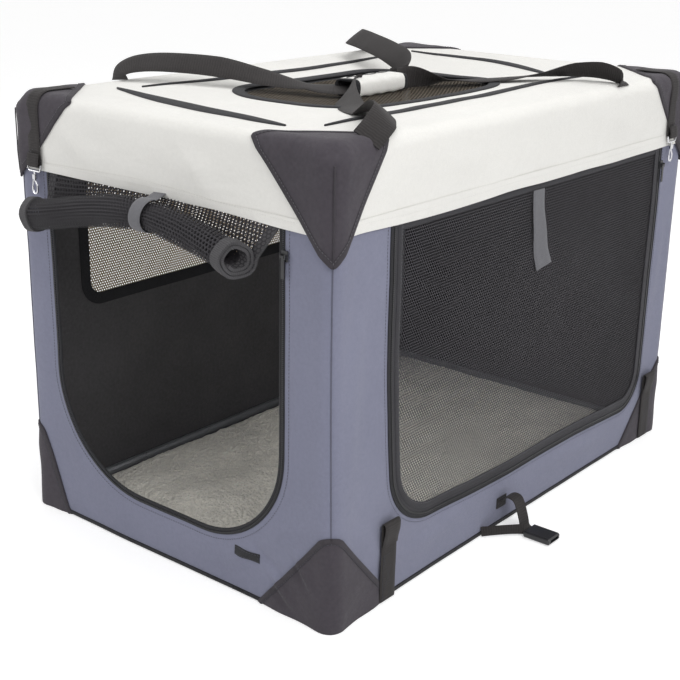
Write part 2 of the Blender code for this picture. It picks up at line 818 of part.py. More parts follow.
# Each strap's way to the wrap: its shares of the half width and half length, its rise
# over the roof as a share of the greatest one, and the strap's lean there in degrees
STRAP_WAYS = {
    "front_left": [
        (-0.862, -0.637, 0.32, 15),
        (-0.707, -0.527, 0.98, 48),
        (-0.414, -0.374, 0.94, 72),
        (-0.121, -0.231, 0.44, 80),
    ],
    "rear_left": [
        (-0.869, 0.604, 0.38, -15),
        (-0.741, 0.473, 0.94, -40),
        (-0.431, 0.330, 0.94, -60),
        (-0.121, 0.231, 0.44, -80),
    ],
    "front_right": [
        (0.903, -0.626, 0.53, -25),
        (0.776, -0.516, 1.00, -60),
        (0.483, -0.374, 0.73, -60),
        (0.138, -0.231, 0.44, -75),
    ],
    "rear_right": [
        (0.845, 0.626, 0.65, 15),
        (0.690, 0.516, 1.00, 20),
        (0.414, 0.374, 0.65, 45),
        (0.121, 0.231, 0.44, 75),
    ],
}
STRAP_FOOT = (0.903, 0.714)


def make_handle():
    ledge = GAP + WEBBING / 2
    end_y = WRAP_LENGTH / 2 + STRAP_END_GAP
    lead_y = end_y + STRAP_LEAD
    net_top = HEIGHT - CLOTH - NET_GAP - sag_at(WRAP_WIDTH / 2, WRAP_LENGTH / 2)
    wrap_z = net_top + NET_GAP + WRAP_HEIGHT / 2
    strap_z = wrap_z + STRAP_LIFT
    for name, sx, sy in corners():
        points = [on_roof(sx * STRAP_FOOT[0], sy * STRAP_FOOT[1], ledge)]
        leans = [0]
        for x_share, y_share, rise, lean in STRAP_WAYS[name]:
            points.append(on_roof(x_share, y_share, 0)[:2] + (HEIGHT + rise * STRAP_RISE,))
            leans.append(lean)
        points += [(sx * STRAP_SPREAD, sy * y, strap_z) for y in (lead_y, end_y)]
        side = math.copysign(1, leans[-1])
        leans += [side * 85, side * 90]
        mesh = ribbon_mesh(points, leans, HANDLE_WIDTH, WEBBING)
        add_part(f"handle_strap_{name}", mesh, "charcoal")
    low = (-WRAP_WIDTH / 2, -WRAP_LENGTH / 2, wrap_z - WRAP_HEIGHT / 2)
    high = (WRAP_WIDTH / 2, WRAP_LENGTH / 2, wrap_z + WRAP_HEIGHT / 2)
    wrap = add_part("handle_wrap", box_mesh(low, high, WRAP_EDGE, 2), "cream")
    hang(add_pivot("handle_pivot", (0, 0, wrap_z)), wrap)


# Snap hooks. Each is made for the front face, facing -Y, and turned to its own face


def hook_place(face):
    if face == "front":
        return Matrix.Translation((-FRONT_HOOK_X, -top_patch_out[1], 0))
    return Matrix.Translation((top_patch_out[0], SIDE_HOOK_Y, 0)) @ Matrix.Rotation(math.pi / 2, 4, "Z")


def make_hook(face):
    turn = hook_place(face)
    bar_y = -(GAP + WEBBING + ring_bar_out)
    bar = (bar_y, ring_bar_z)
    loop_radius = ring_bar_out
    line = [(-hook_strap_depth, HEIGHT - HOOK_STRAP_TOP)]
    line += [(-hook_strap_depth, ring_bar_z + HOOK_STRAP_LEAD)]
    line += [*arc(bar, loop_radius, 10, -170, 8)]
    line += [(bar_y - loop_radius, ring_bar_z + HOOK_STRAP_LAP)]
    strap = plate_mesh([band(line, WEBBING)], HOOK_STRAP_WIDTH, ACROSS_X, (0, 0, 0))
    strap.transform(turn)
    add_part(f"hook_strap_{face}", strap, "charcoal")

    half = HOOK_STRAP_WIDTH / 2 + RING_WIRE + RING_CLEARANCE
    low = ring_bar_z - RING_HEIGHT
    ring_line = [(u, bar_y, max(v, low)) for u, v in arc((0, ring_bar_z), half, 0, -180, 10)]
    ring = tube_mesh(ring_line, RING_WIRE, closed=True, resolution=2)
    stem_low = low - RING_WIRE - STEM_LENGTH
    stem = rod_mesh((0, bar_y, low), (0, bar_y, stem_low), STEM_RADIUS, 10)
    ring = join(ring, stem)
    ring.transform(turn)
    eye = add_part(f"hook_eye_{face}", ring, "chrome")
    hang(add_pivot(f"hook_eye_pivot_{face}", turn @ Vector((0, bar_y, ring_bar_z))), eye)

    barrel_top = low - RING_WIRE - STEM_SHOWS
    barrel_low = barrel_top - BARREL_LENGTH
    barrel = rod_mesh((0, bar_y, barrel_top), (0, bar_y, barrel_low), BARREL_RADIUS, 14)
    bore_ends = ((0, bar_y, barrel_top + STEM_SHOWS / 2), (0, bar_y, stem_low - GAP))
    barrel = cut(barrel, rod_mesh(*bore_ends, STEM_RADIUS + GAP, 10))
    side = HOOK_WIDTH / 2 - HOOK_WIRE
    bottom = barrel_low - HOOK_LENGTH + HOOK_WIDTH / 2
    line = [(0, barrel_low + HOOK_ROOT), (0, barrel_low - HOOK_NECK)]
    line += [(side, barrel_low - HOOK_SHOULDER)]
    line += [*arc((0, bottom), side, 0, -180, 8)]
    line += [(-side, bottom + HOOK_TIP)]
    hook = tube_mesh([(u, bar_y, v) for u, v in line], HOOK_WIRE, resolution=2)
    body = join(barrel, hook)
    body.transform(turn)
    swivel = add_part(f"snap_hook_{face}", body, "chrome")
    hang(add_pivot(f"snap_hook_pivot_{face}", turn @ Vector((0, bar_y, barrel_top))), swivel)

    gate_low = (-side, bar_y, bottom + HOOK_TIP + GAP)
    gate_high = (-BARREL_RADIUS * 0.55 - GATE_WIRE, bar_y, barrel_low - GAP - GATE_WIRE)
    rod = rod_mesh(gate_low, gate_high, GATE_WIRE, 8)
    rod.transform(turn)
    gate = add_part(f"hook_gate_{face}", rod, "chrome")
    hang(add_pivot(f"hook_gate_pivot_{face}", turn @ Vector(gate_high)), gate)


# Tabs, pack strap and zip sliders


def make_tab(name, y):
    # webbing sewn up the side, with its end turned over into an open loop
    x = patch_out[0] + GAP + WEBBING / 2
    top = TAB_HEIGHT - TAB_LOOP
    line = [(x, 0.0), (x, top)]
    line += [*arc((x + TAB_LOOP, top), TAB_LOOP, 180, 0, 6)][1:]
    line += [(x + 2 * TAB_LOOP, top - TAB_LAP), (x + TAB_LOOP, top - 2 * TAB_LAP)]
    mesh = plate_mesh([band(line, WEBBING)], TAB_WIDTH, ACROSS_Y, (0, y, 0))
    add_part(name, mesh, "charcoal")


def make_pack_strap():
    # a short webbing strap arched out from its seam on the wall, and half a clip buckle
    start_x = wall_out[0] + GAP + WEBBING / 2
    end_x = start_x + PACK_REACH
    line = [(start_x, PACK_SEAM), (start_x + PACK_REACH * 0.25, PACK_RISE * 0.96)]
    line += [(start_x + PACK_REACH * 0.47, PACK_RISE)]
    line += [(start_x + PACK_REACH * 0.73, PACK_RISE * 0.9), (end_x, PACK_RISE * 0.45)]
    buckle_z = BUCKLE_HEIGHT / 2
    foot = PACK_REACH / 9
    line += [(end_x + foot, buckle_z + foot), (end_x + 2 * foot, buckle_z)]
    line += [(end_x + 3 * foot, buckle_z)]
    mesh = plate_mesh([band(line, WEBBING)], PACK_WIDTH, ACROSS_Y, (0, -PACK_Y, 0))
    strap = add_part("pack_strap", mesh, "charcoal")
    x = end_x + 3 * foot + GAP
    low = (x, -PACK_Y - BUCKLE_WIDTH / 2, 0)
    high = (x + BUCKLE_LENGTH, -PACK_Y + BUCKLE_WIDTH / 2, BUCKLE_HEIGHT)
    body = box_mesh(low, high, BUCKLE_EDGE)
    half = BUCKLE_WIDTH / 2 - 2 * BUCKLE_WALL
    mouth_low = (x + BUCKLE_END, -PACK_Y - half, BUCKLE_WALL)
    mouth_high = (high[0] + BUCKLE_END, -PACK_Y + half, BUCKLE_HEIGHT - BUCKLE_WALL)
    buckle = add_part("pack_buckle", cut(body, box_mesh(mouth_low, mouth_high)), "plastic")
    hang(add_pivot("pack_strap_pivot", (start_x, -PACK_Y, PACK_SEAM)), strap, buckle)


def make_slider(face):
    # made for the front face, with its pull hanging from a bridge across it
    top = valance_low - SLIDER_DROP
    low_z = top - SLIDER_LENGTH
    if face == "front":
        turn = Matrix.Translation((FRONT_RIGHT + ZIP_INSET, -wall_out[1], 0))
    else:
        place = Matrix.Translation((wall_out[0], SIDE_REAR + ZIP_INSET, 0))
        turn = place @ Matrix.Rotation(math.pi / 2, 4, "Z")
    half = SLIDER_WIDTH / 2
    face_y = -GAP - SLIDER_HEIGHT
    body = box_mesh((-half, face_y, low_z), (half, -GAP, top), SLIDER_EDGE)
    bar_y = face_y - BRIDGE_RISE
    bar_z = (top + low_z) / 2
    cheeks = []
    for side in (-1, 1):
        x = side * (half - SLIDER_EDGE / 2 - CHEEK_WIDTH / 2)
        low = (x - CHEEK_WIDTH / 2, bar_y - BRIDGE_RADIUS - GAP, bar_z - CHEEK_LENGTH / 2)
        high = (x + CHEEK_WIDTH / 2, face_y + SLIDER_EDGE, bar_z + CHEEK_LENGTH / 2)
        cheeks.append(box_mesh(low, high))
    reach = half - SLIDER_EDGE
    bar = rod_mesh((-reach, bar_y, bar_z), (reach, bar_y, bar_z), BRIDGE_RADIUS, 8)
    body = join(body, *cheeks, bar)
    body.transform(turn)
    slider = add_part(f"zip_slider_{face}", body, "plastic")
    hang(add_pivot(f"zip_slider_pivot_{face}", turn @ Vector((0, 0, top))), slider)

    hole_radius = BRIDGE_RADIUS + GAP
    half = PULL_THICKNESS / 2
    wide = hole_radius + SLIDER_EDGE
    outline = [(-half, -PULL_LENGTH), (half, -PULL_LENGTH), (half, -wide)]
    outline += [*arc((0, 0), wide, -50, 230, 8)]
    outline += [(-half, -wide)]
    hole = [*arc((0, 0), hole_radius, 0, 315, 7)]
    pull = plate_mesh([outline, hole], PULL_WIDTH, ACROSS_X, (0, bar_y, bar_z))
    pull.transform(turn)
    tab = add_part(f"zip_pull_{face}", pull, "plastic")
    hang(add_pivot(f"zip_pull_pivot_{face}", turn @ Vector((0, bar_y, bar_z))), tab)


clear_scene()
parts = add_collection("dog_transport_box")
cutters = add_collection("cutters")
make_frame()
make_floor()
make_mat()
make_walls()
make_side_door()
make_roof()
make_roof_net()
make_patches()
make_front_door()
make_handle()
for face_name in ("front", "side"):
    make_hook(face_name)
    make_slider(face_name)
make_tab("tab_front", -FRONT_TAB_Y)
make_tab("tab_rear", REAR_TAB_Y)
make_pack_strap()
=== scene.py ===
from math import ceil, copysign, cos, exp, hypot, pi, radians, sin, sqrt

import bmesh
import bpy
import numpy as np
from mathutils import Matrix, Quaternion, Vector, noise
from mathutils.geometry import delaunay_2d_cdt, interpolate_bezier


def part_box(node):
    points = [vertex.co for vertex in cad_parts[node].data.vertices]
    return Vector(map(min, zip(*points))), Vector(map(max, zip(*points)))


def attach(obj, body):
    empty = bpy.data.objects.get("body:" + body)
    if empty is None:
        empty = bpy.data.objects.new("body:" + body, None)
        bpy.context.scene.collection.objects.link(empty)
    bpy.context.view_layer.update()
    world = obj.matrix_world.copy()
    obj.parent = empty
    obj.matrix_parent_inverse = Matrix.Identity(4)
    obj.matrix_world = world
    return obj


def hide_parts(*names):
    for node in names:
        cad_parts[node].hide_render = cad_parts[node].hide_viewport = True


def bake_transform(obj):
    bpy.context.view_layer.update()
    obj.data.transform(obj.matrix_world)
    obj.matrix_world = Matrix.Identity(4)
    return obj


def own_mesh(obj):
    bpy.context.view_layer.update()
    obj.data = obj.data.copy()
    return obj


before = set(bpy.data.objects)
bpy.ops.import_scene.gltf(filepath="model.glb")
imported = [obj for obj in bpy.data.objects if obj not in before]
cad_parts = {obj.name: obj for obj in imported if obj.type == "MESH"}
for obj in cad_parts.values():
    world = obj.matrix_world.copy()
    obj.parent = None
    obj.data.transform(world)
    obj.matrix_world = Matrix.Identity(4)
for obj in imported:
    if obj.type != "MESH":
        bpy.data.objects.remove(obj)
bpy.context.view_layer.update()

scene = bpy.context.scene

# The cabin's outer cloth faces, and how cloth lies over the frame
cabin = {
    "halfX": 0.2877, "halfY": 0.4527, "top": 0.6277, "wallTop": 0.612, "valanceLow": 0.517,
    "edgeRadius": 0.016, "cornerRadius": 0.024,
    "cornerPush": 0.0035, "pushReach": 0.060,   # how far the posts press the cloth out
    "roofSag": 0.014, "sagHalves": (0.255, 0.420),
    "waves": (0.0019, 5.5), "ripples": (0.0006, 17),   # height and scale
    "foldScale": 1.1,
    "ringReach": 0.035, "postReach": 0.045,   # where the tubes hold the cloth tight
    "foot": 0.006, "footReach": (0.12, 0.20, 0.42),   # the near corner's foot stands out a little
    "grid": 0.0075, "fine": 0.004, "edgeGrid": 0.010,
    "cover": 0.0023,   # how far the cover lies over the walls
}
halfX, halfY, top, wallTop, valanceLow, cover = (
    cabin[key] for key in ("halfX", "halfY", "top", "wallTop", "valanceLow", "cover")
)
perimeter = 4 * (halfX + halfY)


def around(s, z):
    # s runs round the cabin from the middle of the front, eastwards
    s = (s + halfX) % perimeter
    if s <= 2 * halfX:
        return (s - halfX, -halfY, z)
    if s <= 2 * (halfX + halfY):
        return (halfX, s - 2 * halfX - halfY, z)
    if s <= 4 * halfX + 2 * halfY:
        return (3 * halfX + 2 * halfY - s, halfY, z)
    return (-halfX, 3 * halfY + 4 * halfX - s, z)


faces = {
    "front": lambda u, v: (u, -halfY, v),
    "right": lambda u, v: (halfX, u, v),
    "rear": lambda u, v: (-u, halfY, v),
    "left": lambda u, v: (-halfX, -u, v),
    "top": lambda u, v: (u, v, top),
    "around": around,
}

# Soft folds where the cloth is drawn towards the frame: two ends, width, height
folds = {
    "front": [
        ((0.165, 0.075), (0.268, 0.165), 0.011, 0.0036),
        ((0.110, 0.030), (0.170, 0.088), 0.009, 0.0032),
        ((0.228, 0.190), (0.240, 0.440), 0.011, 0.0020),
        ((0.190, 0.052), (0.238, 0.012), 0.006, 0.0040),
        ((0.182, 0.042), (0.226, 0.006), 0.005, -0.0028),
        ((0.228, 0.100), (0.268, 0.048), 0.006, 0.0038),
        ((0.219, 0.092), (0.258, 0.042), 0.005, -0.0028),
        ((0.150, 0.088), (0.218, 0.048), 0.007, -0.0028),
        ((-0.262, 0.150), (-0.250, 0.420), 0.010, 0.0018),
        ((-0.215, 0.598), (-0.120, 0.545), 0.014, 0.0026),
        ((0.020, 0.605), (0.105, 0.540), 0.014, 0.0020),
    ],
    "right": [
        ((-0.425, 0.150), (-0.395, 0.460), 0.014, 0.0026),
        ((-0.405, 0.130), (-0.340, 0.060), 0.011, 0.0020),
        ((-0.300, 0.045), (-0.130, 0.060), 0.012, 0.0022),
        ((0.080, 0.058), (0.270, 0.040), 0.011, 0.0024),
        ((0.395, 0.200), (0.410, 0.440), 0.012, 0.0022),
        ((-0.300, 0.605), (-0.120, 0.560), 0.015, 0.0022),
        ((0.120, 0.600), (0.300, 0.560), 0.014, 0.0022),
    ],
    "top": [
        ((-0.200, -0.405), (0.060, -0.418), 0.014, 0.0026),
        ((0.225, -0.270), (0.245, 0.150), 0.014, 0.0022),
        ((0.205, -0.120), (0.215, 0.280), 0.012, 0.0022),
        ((-0.235, -0.220), (-0.225, 0.220), 0.014, 0.0022),
        ((-0.200, 0.400), (0.160, 0.405), 0.014, 0.0024),
    ],
    "rear": [((0.100, 0.080), (-0.180, 0.210), 0.018, 0.0012), ((0.190, 0.420), (-0.040, 0.300), 0.018, 0.0012)],
    "left": [((0.320, 0.060), (0.080, 0.200), 0.018, 0.0012), ((-0.100, 0.220), (-0.360, 0.080), 0.018, 0.0010)],
}
foldLines = []
for face, rows in folds.items():
    for start, end, width, height in rows:
        start, end = Vector(faces[face](*start)), Vector(faces[face](*end))
        foldLines.append((start, end - start, width, cabin["foldScale"] * height))


def fade(value):
    # 1 at nought, 0 from one on
    t = min(max(value, 0.0), 1.0)
    return 1 - t * t * (3 - 2 * t)


def waves(point):
    p = Vector(point)
    (height, scale), (fineHeight, fineScale) = cabin["waves"], cabin["ripples"]
    wave = height * noise.noise(p * scale) + fineHeight * noise.noise(p * fineScale + Vector((3, 1, 7)))
    x, y, z = abs(p.x), abs(p.y), p.z
    toRing = abs(top - z) if z < top - 0.001 else min(halfX - x, halfY - y)
    toPost = halfX - x + halfY - y
    held = max(fade(toRing / cabin["ringReach"]), fade(toPost / cabin["postReach"]))
    wave = wave * (1 - held) + abs(wave) * 0.5 * held
    for start, along, width, height in foldLines:
        share = (p - start).dot(along) / along.length_squared
        if -0.15 < share < 1.15:
            away = (p - start - along * share).length / width
            if away < 2.5:
                wave += height * exp(-away * away) * fade(abs(share - 0.5) / 0.65)
    return wave


def roundedPoint(point, radius):
    # the point moved onto a box with rounded edges, and the way out there
    x, y, z = point
    limitX, limitY = halfX - radius, halfY - radius
    core = Vector((min(max(x, -limitX), limitX), min(max(y, -limitY), limitY), min(z, top - radius)))
    out = (Vector(point) - core).normalized()
    return core + out * radius, out


def skin(point, lift=0.0):
    # lays a point of the sharp-edged box onto the rounded, sagging cloth
    x, y, z = point
    push = cabin["cornerPush"] * fade((halfX - abs(x) + halfY - abs(y)) / cabin["pushReach"])
    big = cabin["cornerRadius"]
    inCorner = min(abs(x) - halfX + big, abs(y) - halfY + big, z - top + big) / big
    lift += waves(point)
    place, out = roundedPoint(point, cabin["edgeRadius"])
    place += out * (lift + push * (1 - max(out.z, 0)))
    if inCorner > 0:
        other, out = roundedPoint(point, big)
        other += out * (lift + push * (1 - max(out.z, 0)))
        place = place.lerp(other, 1 - fade(inCorner))
    if out.z > 0:
        drop = cabin["roofSag"]
        for value, half in zip((x, y), cabin["sagHalves"]):
            share = min(abs(value) / half, 1)
            drop *= (1 - share * share) ** 2
        place.z -= drop * out.z
    reachX, reachY, reachZ = cabin["footReach"]
    place.x += cabin["foot"] * fade((halfX - x) / reachX) * fade((y + halfY) / reachY) * fade(z / reachZ)
    return place


# Flat outlines and paths

def arc(u, v, radius, start, end, steps):
    angles = [radians(start + (end - start) * n / steps) for n in range(steps + 1)]
    return [(u + radius * cos(angle), v + radius * sin(angle)) for angle in angles]


def lowerCorners(u0, u1, v0, left, right, steps):
    return arc(u0 + left, v0 + left, left, 180, 270, steps) + arc(u1 - right, v0 + right, right, 270, 360, steps)


def rounded(u0, u1, v0, v1, radius, steps):
    path = lowerCorners(u0, u1, v0, radius, radius, steps) + arc(u1 - radius, v1 - radius, radius, 0, 90, steps)
    return path + arc(u0 + radius, v1 - radius, radius, 90, 180, steps)


def dense(points, spacing, closed=True):
    made = []
    count = len(points)
    for n in range(count if closed else count - 1):
        a, b = Vector(points[n]), Vector(points[(n + 1) % count])
        steps = max(1, ceil((b - a).length / spacing - 1e-6))
        made += [tuple(a.lerp(b, k / steps)) for k in range(steps)]
    return made if closed else made + [tuple(points[-1])]


def smoothed(points, rounds):
    # an open path with its corners cut
    for _ in range(rounds):
        made = [points[0]]
        for a, b in zip(points, points[1:]):
            a, b = Vector(a), Vector(b)
            made += [tuple(a.lerp(b, 0.25)), tuple(a.lerp(b, 0.75))]
        points = made + [points[-1]]
    return points


def pathFrames(path, closed):
    # each point with the way to its left and the length up to it, and the whole length
    made, length, count = [], 0.0, len(path)
    for n, here in enumerate(path):
        before = path[n - 1] if closed or n else here
        after = path[(n + 1) % count] if closed or n < count - 1 else here
        ahead = (Vector(after) - Vector(before)).normalized()
        made.append((Vector(here), Vector((-ahead.y, ahead.x)), length))
        if n < count - 1:
            length += (Vector(path[n + 1]) - Vector(here)).length
    return made, length + (Vector(path[0]) - Vector(path[-1])).length


def offsetPath(path, distance, closed=False):
    # a flat path moved to its left side
    marks, _ = pathFrames(path, closed)
    return [tuple(here + across * distance) for here, across, _ in marks]


def insideLoop(points, loop):
    x, y = points[:, 0], points[:, 1]
    inside = np.zeros(len(points), bool)
    for (x0, y0), (x1, y1) in zip(loop, loop[1:] + loop[:1]):
        if y0 != y1:
            inside ^= ((y0 > y) != (y1 > y)) & (x < (x1 - x0) * (y - y0) / (y1 - y0) + x0)
    return inside


def loopDistance(points, loop):
    nearest = np.full(len(points), 9.0)
    for a, b in zip(loop, loop[1:] + loop[:1]):
        a, b = np.array(a), np.array(b)
        along = np.clip((points - a) @ (b - a) / max((b - a) @ (b - a), 1e-12), 0, 1)
        nearest = np.minimum(nearest, np.linalg.norm(points - a - along[:, None] * (b - a), axis=1))
    return nearest


def edgeLines(low, high):
    # grid lines from edge to edge, close together where the cloth turns over the edge
    fine = cabin["fine"]
    count = max(2, round((high - low - 8 * fine) / cabin["grid"]) + 1)
    inner = np.linspace(low + 4 * fine, high - 4 * fine, count)
    return [low + fine * n for n in range(4)] + list(inner) + [high - fine * n for n in (3, 2, 1, 0)]


def fillRegion(outer, holes, us, vs, clear=0.004):
    # triangles over a flat region with holes, on a grid of the given lines
    grid = np.array([(u, v) for u in us for v in vs])
    keep = insideLoop(grid, outer) & (loopDistance(grid, outer) > clear)
    for hole in holes:
        keep &= ~insideLoop(grid, hole) & (loopDistance(grid, hole) > clear)
    points, edges = [], []
    for loop in (outer, *holes):
        first = len(points)
        points += [Vector(p) for p in loop]
        edges += [(first + n, first + (n + 1) % len(loop)) for n in range(len(loop))]
    points += [Vector(p) for p in grid[keep]]
    points, _, triangles, *_ = delaunay_2d_cdt(points, edges, [], 1, 1e-7)
    middles = np.array([sum((points[i] for i in t), Vector((0, 0))) / 3 for t in triangles])
    good = insideLoop(middles, outer)
    for hole in holes:
        good &= ~insideLoop(middles, hole)
    return [tuple(p) for p in points], [t for t, g in zip(triangles, good) if g]


# Meshes

def newMesh():
    bm = bmesh.new()
    return bm, bm.loops.layers.uv.new("UVMap")


def addFace(bm, layer, corners, places):
    for loop, place in zip(bm.faces.new(corners).loops, places):
        loop[layer].uv = place


def meshOf(bm):
    mesh = bpy.data.meshes.new("mesh")
    bm.to_mesh(mesh)
    bm.free()
    return mesh


def addObject(name, data):
    made = bpy.data.objects.new(name, data)
    scene.collection.objects.link(made)
    return made


def baked(obj):
    bpy.context.view_layer.update()
    graph = bpy.context.evaluated_depsgraph_get()
    mesh = bpy.data.meshes.new_from_object(obj.evaluated_get(graph))
    bpy.data.objects.remove(obj)
    return mesh


def dress(mesh, finishes):
    mesh.materials.clear()
    for finish in finishes:
        mesh.materials.append(finish)


def sheetMesh(parts):
    # parts are (face, flat points, triangles, lift), joined where their edges meet
    bm, layer = newMesh()
    for face, points, triangles, lift in parts:
        lifts = [lift(u, v) if callable(lift) else lift for u, v in points]
        made = [bm.verts.new(skin(faces[face](*p), up)) for p, up in zip(points, lifts)]
        for triangle in triangles:
            addFace(bm, layer, [made[i] for i in triangle], [points[i] for i in triangle])
    bmesh.ops.remove_doubles(bm, verts=bm.verts, dist=0.00002)
    return meshOf(bm)


def thickened(mesh, thickness, finishes=(), offset=-1, even=True):
    # gives a sheet its thickness, and its inner side the last finish
    dress(mesh, finishes)
    obj = addObject("sheet", mesh)
    modifier = obj.modifiers.new("Solidify", "SOLIDIFY")
    modifier.thickness = thickness
    modifier.offset = offset
    modifier.material_offset = max(len(finishes) - 1, 0)
    modifier.use_even_offset = even
    return baked(obj)


def joined(meshes):
    bm, _ = newMesh()
    for mesh in meshes:
        bm.from_mesh(mesh)
        bpy.data.meshes.remove(mesh)
    return meshOf(bm)


def sectionMesh(sections, closed, uvs=None, caps=True):
    # a tube of equal cross sections, each a list of points
    bm, layer = newMesh()
    rows = [[bm.verts.new(p) for p in section] for section in sections]
    size, count = len(rows[0]), len(rows)
    for n in range(count if closed else count - 1):
        a, b = rows[n], rows[(n + 1) % count]
        for k in range(size):
            m = (k + 1) % size
            places = ()
            if uvs:
                (here, low), ahead = uvs[n][k], uvs[n + 1][k][0]
                high = uvs[n][min(k + 1, len(uvs[n]) - 1)][1]
                places = ((here, low), (here, high), (ahead, high), (ahead, low))
            addFace(bm, layer, (a[k], a[m], b[m], b[k]), places)
    if caps and not closed:
        bm.faces.new(rows[0][::-1])
        bm.faces.new(rows[-1])
    bmesh.ops.recalc_face_normals(bm, faces=bm.faces)
    return meshOf(bm)


# cross sections as shares of the width and of the thickness
flatProfile = [(-0.5, 0), (-0.5, 0.6), (-0.42, 1), (0, 1.05), (0.42, 1), (0.5, 0.6), (0.5, 0)]
cordProfile = [
    (-0.5, 0.2), (-0.42, 0.7), (-0.2, 0.95), (0, 1), (0.2, 0.95), (0.42, 0.7), (0.5, 0.2), (0.2, 0), (-0.2, 0),
]
halfRibbon = [(-0.5, 0), (-0.47, 0.5), (-0.25, 0.5), (0, 0.5), (0.25, 0.5), (0.47, 0.5)]
ribbonProfile = halfRibbon + [(-a, -b) for a, b in halfRibbon]


def tapeMesh(face, path, width, lift, thickness, closed=False, profile=flatProfile, spacing=0.007, taper=None):
    # a tape laid on a face of the cabin along a flat path
    marks, total = pathFrames(dense(path, spacing, closed), closed)
    sections, uvs = [], []
    for n, (here, across, length) in enumerate(marks):
        wide = width * (taper(n / (len(marks) - 1)) if taper else 1)
        row = []
        for a, b in profile:
            u, v = here + across * a * wide
            base = lift(u, v) if callable(lift) else lift
            row.append(skin(faces[face](u, v), base + b * thickness))
        sections.append(row)
        uvs.append([(length, a * wide + b * thickness) for a, b in profile])
    uvs.append([(total, v) for _, v in uvs[0]])
    return sectionMesh(sections, closed, uvs)


def edgeTape(face, path, row, closed=False, profile=flatProfile):
    # row gives the way in from the edge, then width, lift and thickness
    inset, *sizes = row
    return tapeMesh(face, offsetPath(path, inset, closed), *sizes, closed=closed, profile=profile)


def onFace(face, path, lift, closed=False):
    return [skin(faces[face](u, v), lift) for u, v in dense(path, 0.006, closed)], closed


def edgeLine(face, path, row, closed=False):
    # row gives the way in from the edge, and the lift
    return onFace(face, offsetPath(path, row[0], closed), row[1], closed)


def ribbonMesh(points, sides, width, thickness, cup=0.0, steps=6):
    # webbing through points in space; each side vector gives the way across it
    points, sides = [Vector(p) for p in points], [Vector(side) for side in sides]
    line, across = [], []
    last = len(points) - 1
    for n in range(last):
        p0, p1 = points[n], points[n + 1]
        h0 = p0 + (p1 - points[max(n - 1, 0)]) / 6
        h1 = p1 - (points[min(n + 2, last)] - p0) / 6
        curve = interpolate_bezier(p0, h0, h1, p1, steps + 1)
        for k, place in enumerate(curve[:-1] if n < last - 1 else curve):
            line.append(place)
            across.append(sides[n].lerp(sides[n + 1], k / steps))
    sections, uvs, length, last = [], [], 0.0, len(line) - 1
    for n, here in enumerate(line):
        after = line[min(n + 1, last)]
        ahead = (after - line[max(n - 1, 0)]).normalized()
        side = (across[n] - ahead * across[n].dot(ahead)).normalized()
        up = ahead.cross(side).normalized()
        bend = cup * sin(pi * n / last)
        sections.append([
            here + side * a * width + up * (b * thickness + bend * (4 * a * a - 1)) for a, b in ribbonProfile
        ])
        uvs.append([(length, a * width + 0.001 * b) for a, b in ribbonProfile])
        length += (after - here).length
    return sectionMesh(sections, False, uvs)


# how much of its height a piece keeps when the frame folds, by its body
keeps = {"base": 0.2, "side_door": 0.2, "side_tie": 0.2, "front_door": 0.35}


def addPiece(name, mesh, body, finish=None, slot="charcoal_cloth", node=None, sharp=50, keep=None):
    # mesh may be a list of meshes to join; node is the CAD piece that it replaces
    mesh = joined(mesh) if isinstance(mesh, list) else mesh
    if finish:
        dress(mesh, [finish])
    mesh.polygons.foreach_set("use_smooth", [True] * len(mesh.polygons))
    mesh.set_sharp_from_angle(angle=radians(sharp))
    made = addObject(name, mesh)
    if node:
        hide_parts(node)
    if body:
        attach(made, body)
    keep = keeps.get(body, 1) if keep is None else keep
    if keep < 1:
        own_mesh(made)
    return made


def addSheet(name, parts, body, finishes, slot, node, thickness, flat):
    for _, points, triangles, _ in parts:
        for a, b, c in triangles:
            ab, ac = Vector(points[b]) - Vector(points[a]), Vector(points[c]) - Vector(points[a])
    made = addPiece(name, thickened(sheetMesh(parts), thickness, finishes), body, slot=slot, node=node)


def addNet(name, face, path, values, body, finish, node, closed=False):
    # values give the net's way in from the edge, its grid and its flat size
    outline = dense(offsetPath(path, values["inset"], closed), cabin["edgeGrid"])
    points, triangles = fillRegion(outline, [], np.linspace(*values["us"]), np.linspace(*values["vs"]))
    addSheet(name, [(face, points, triangles, -0.0006)], body, [finish], "net", node, 0.0002, values["flat"])


# Shader nodes

def wire(tree, sockets, values):
    # gives each socket its value, or links another node's output to it
    for key, value in values.items():
        if isinstance(value, bpy.types.NodeSocket):
            tree.links.new(value, sockets[key])
        else:
            sockets[key].default_value = value


def addNode(tree, kind, values=None, **settings):
    made = tree.nodes.new(kind)
    for key, value in settings.items():
        setattr(made, key, value)
    wire(tree, made.inputs, values or {})
    return made.outputs


def calculate(tree, operation, *values):
    return addNode(tree, "ShaderNodeMath", dict(enumerate(values)), operation=operation)[0]


def scaled(tree, vector, factor):
    return addNode(tree, "ShaderNodeVectorMath", {0: vector, "Scale": factor}, operation="SCALE")[0]


def mapped(tree, value, low, high, start, end):
    return addNode(tree, "ShaderNodeMapRange", {0: value, 1: low, 2: high, 3: start, 4: end})[0]


def grainOf(tree, place, scale, detail, **more):
    return addNode(tree, "ShaderNodeTexNoise", {"Vector": place, "Scale": scale, "Detail": detail, **more})[0]


def ridge(tree, value, turn):
    # even rounded ridges across the value
    return calculate(tree, "ABSOLUTE", calculate(tree, "SINE", calculate(tree, "MULTIPLY", value, turn)))


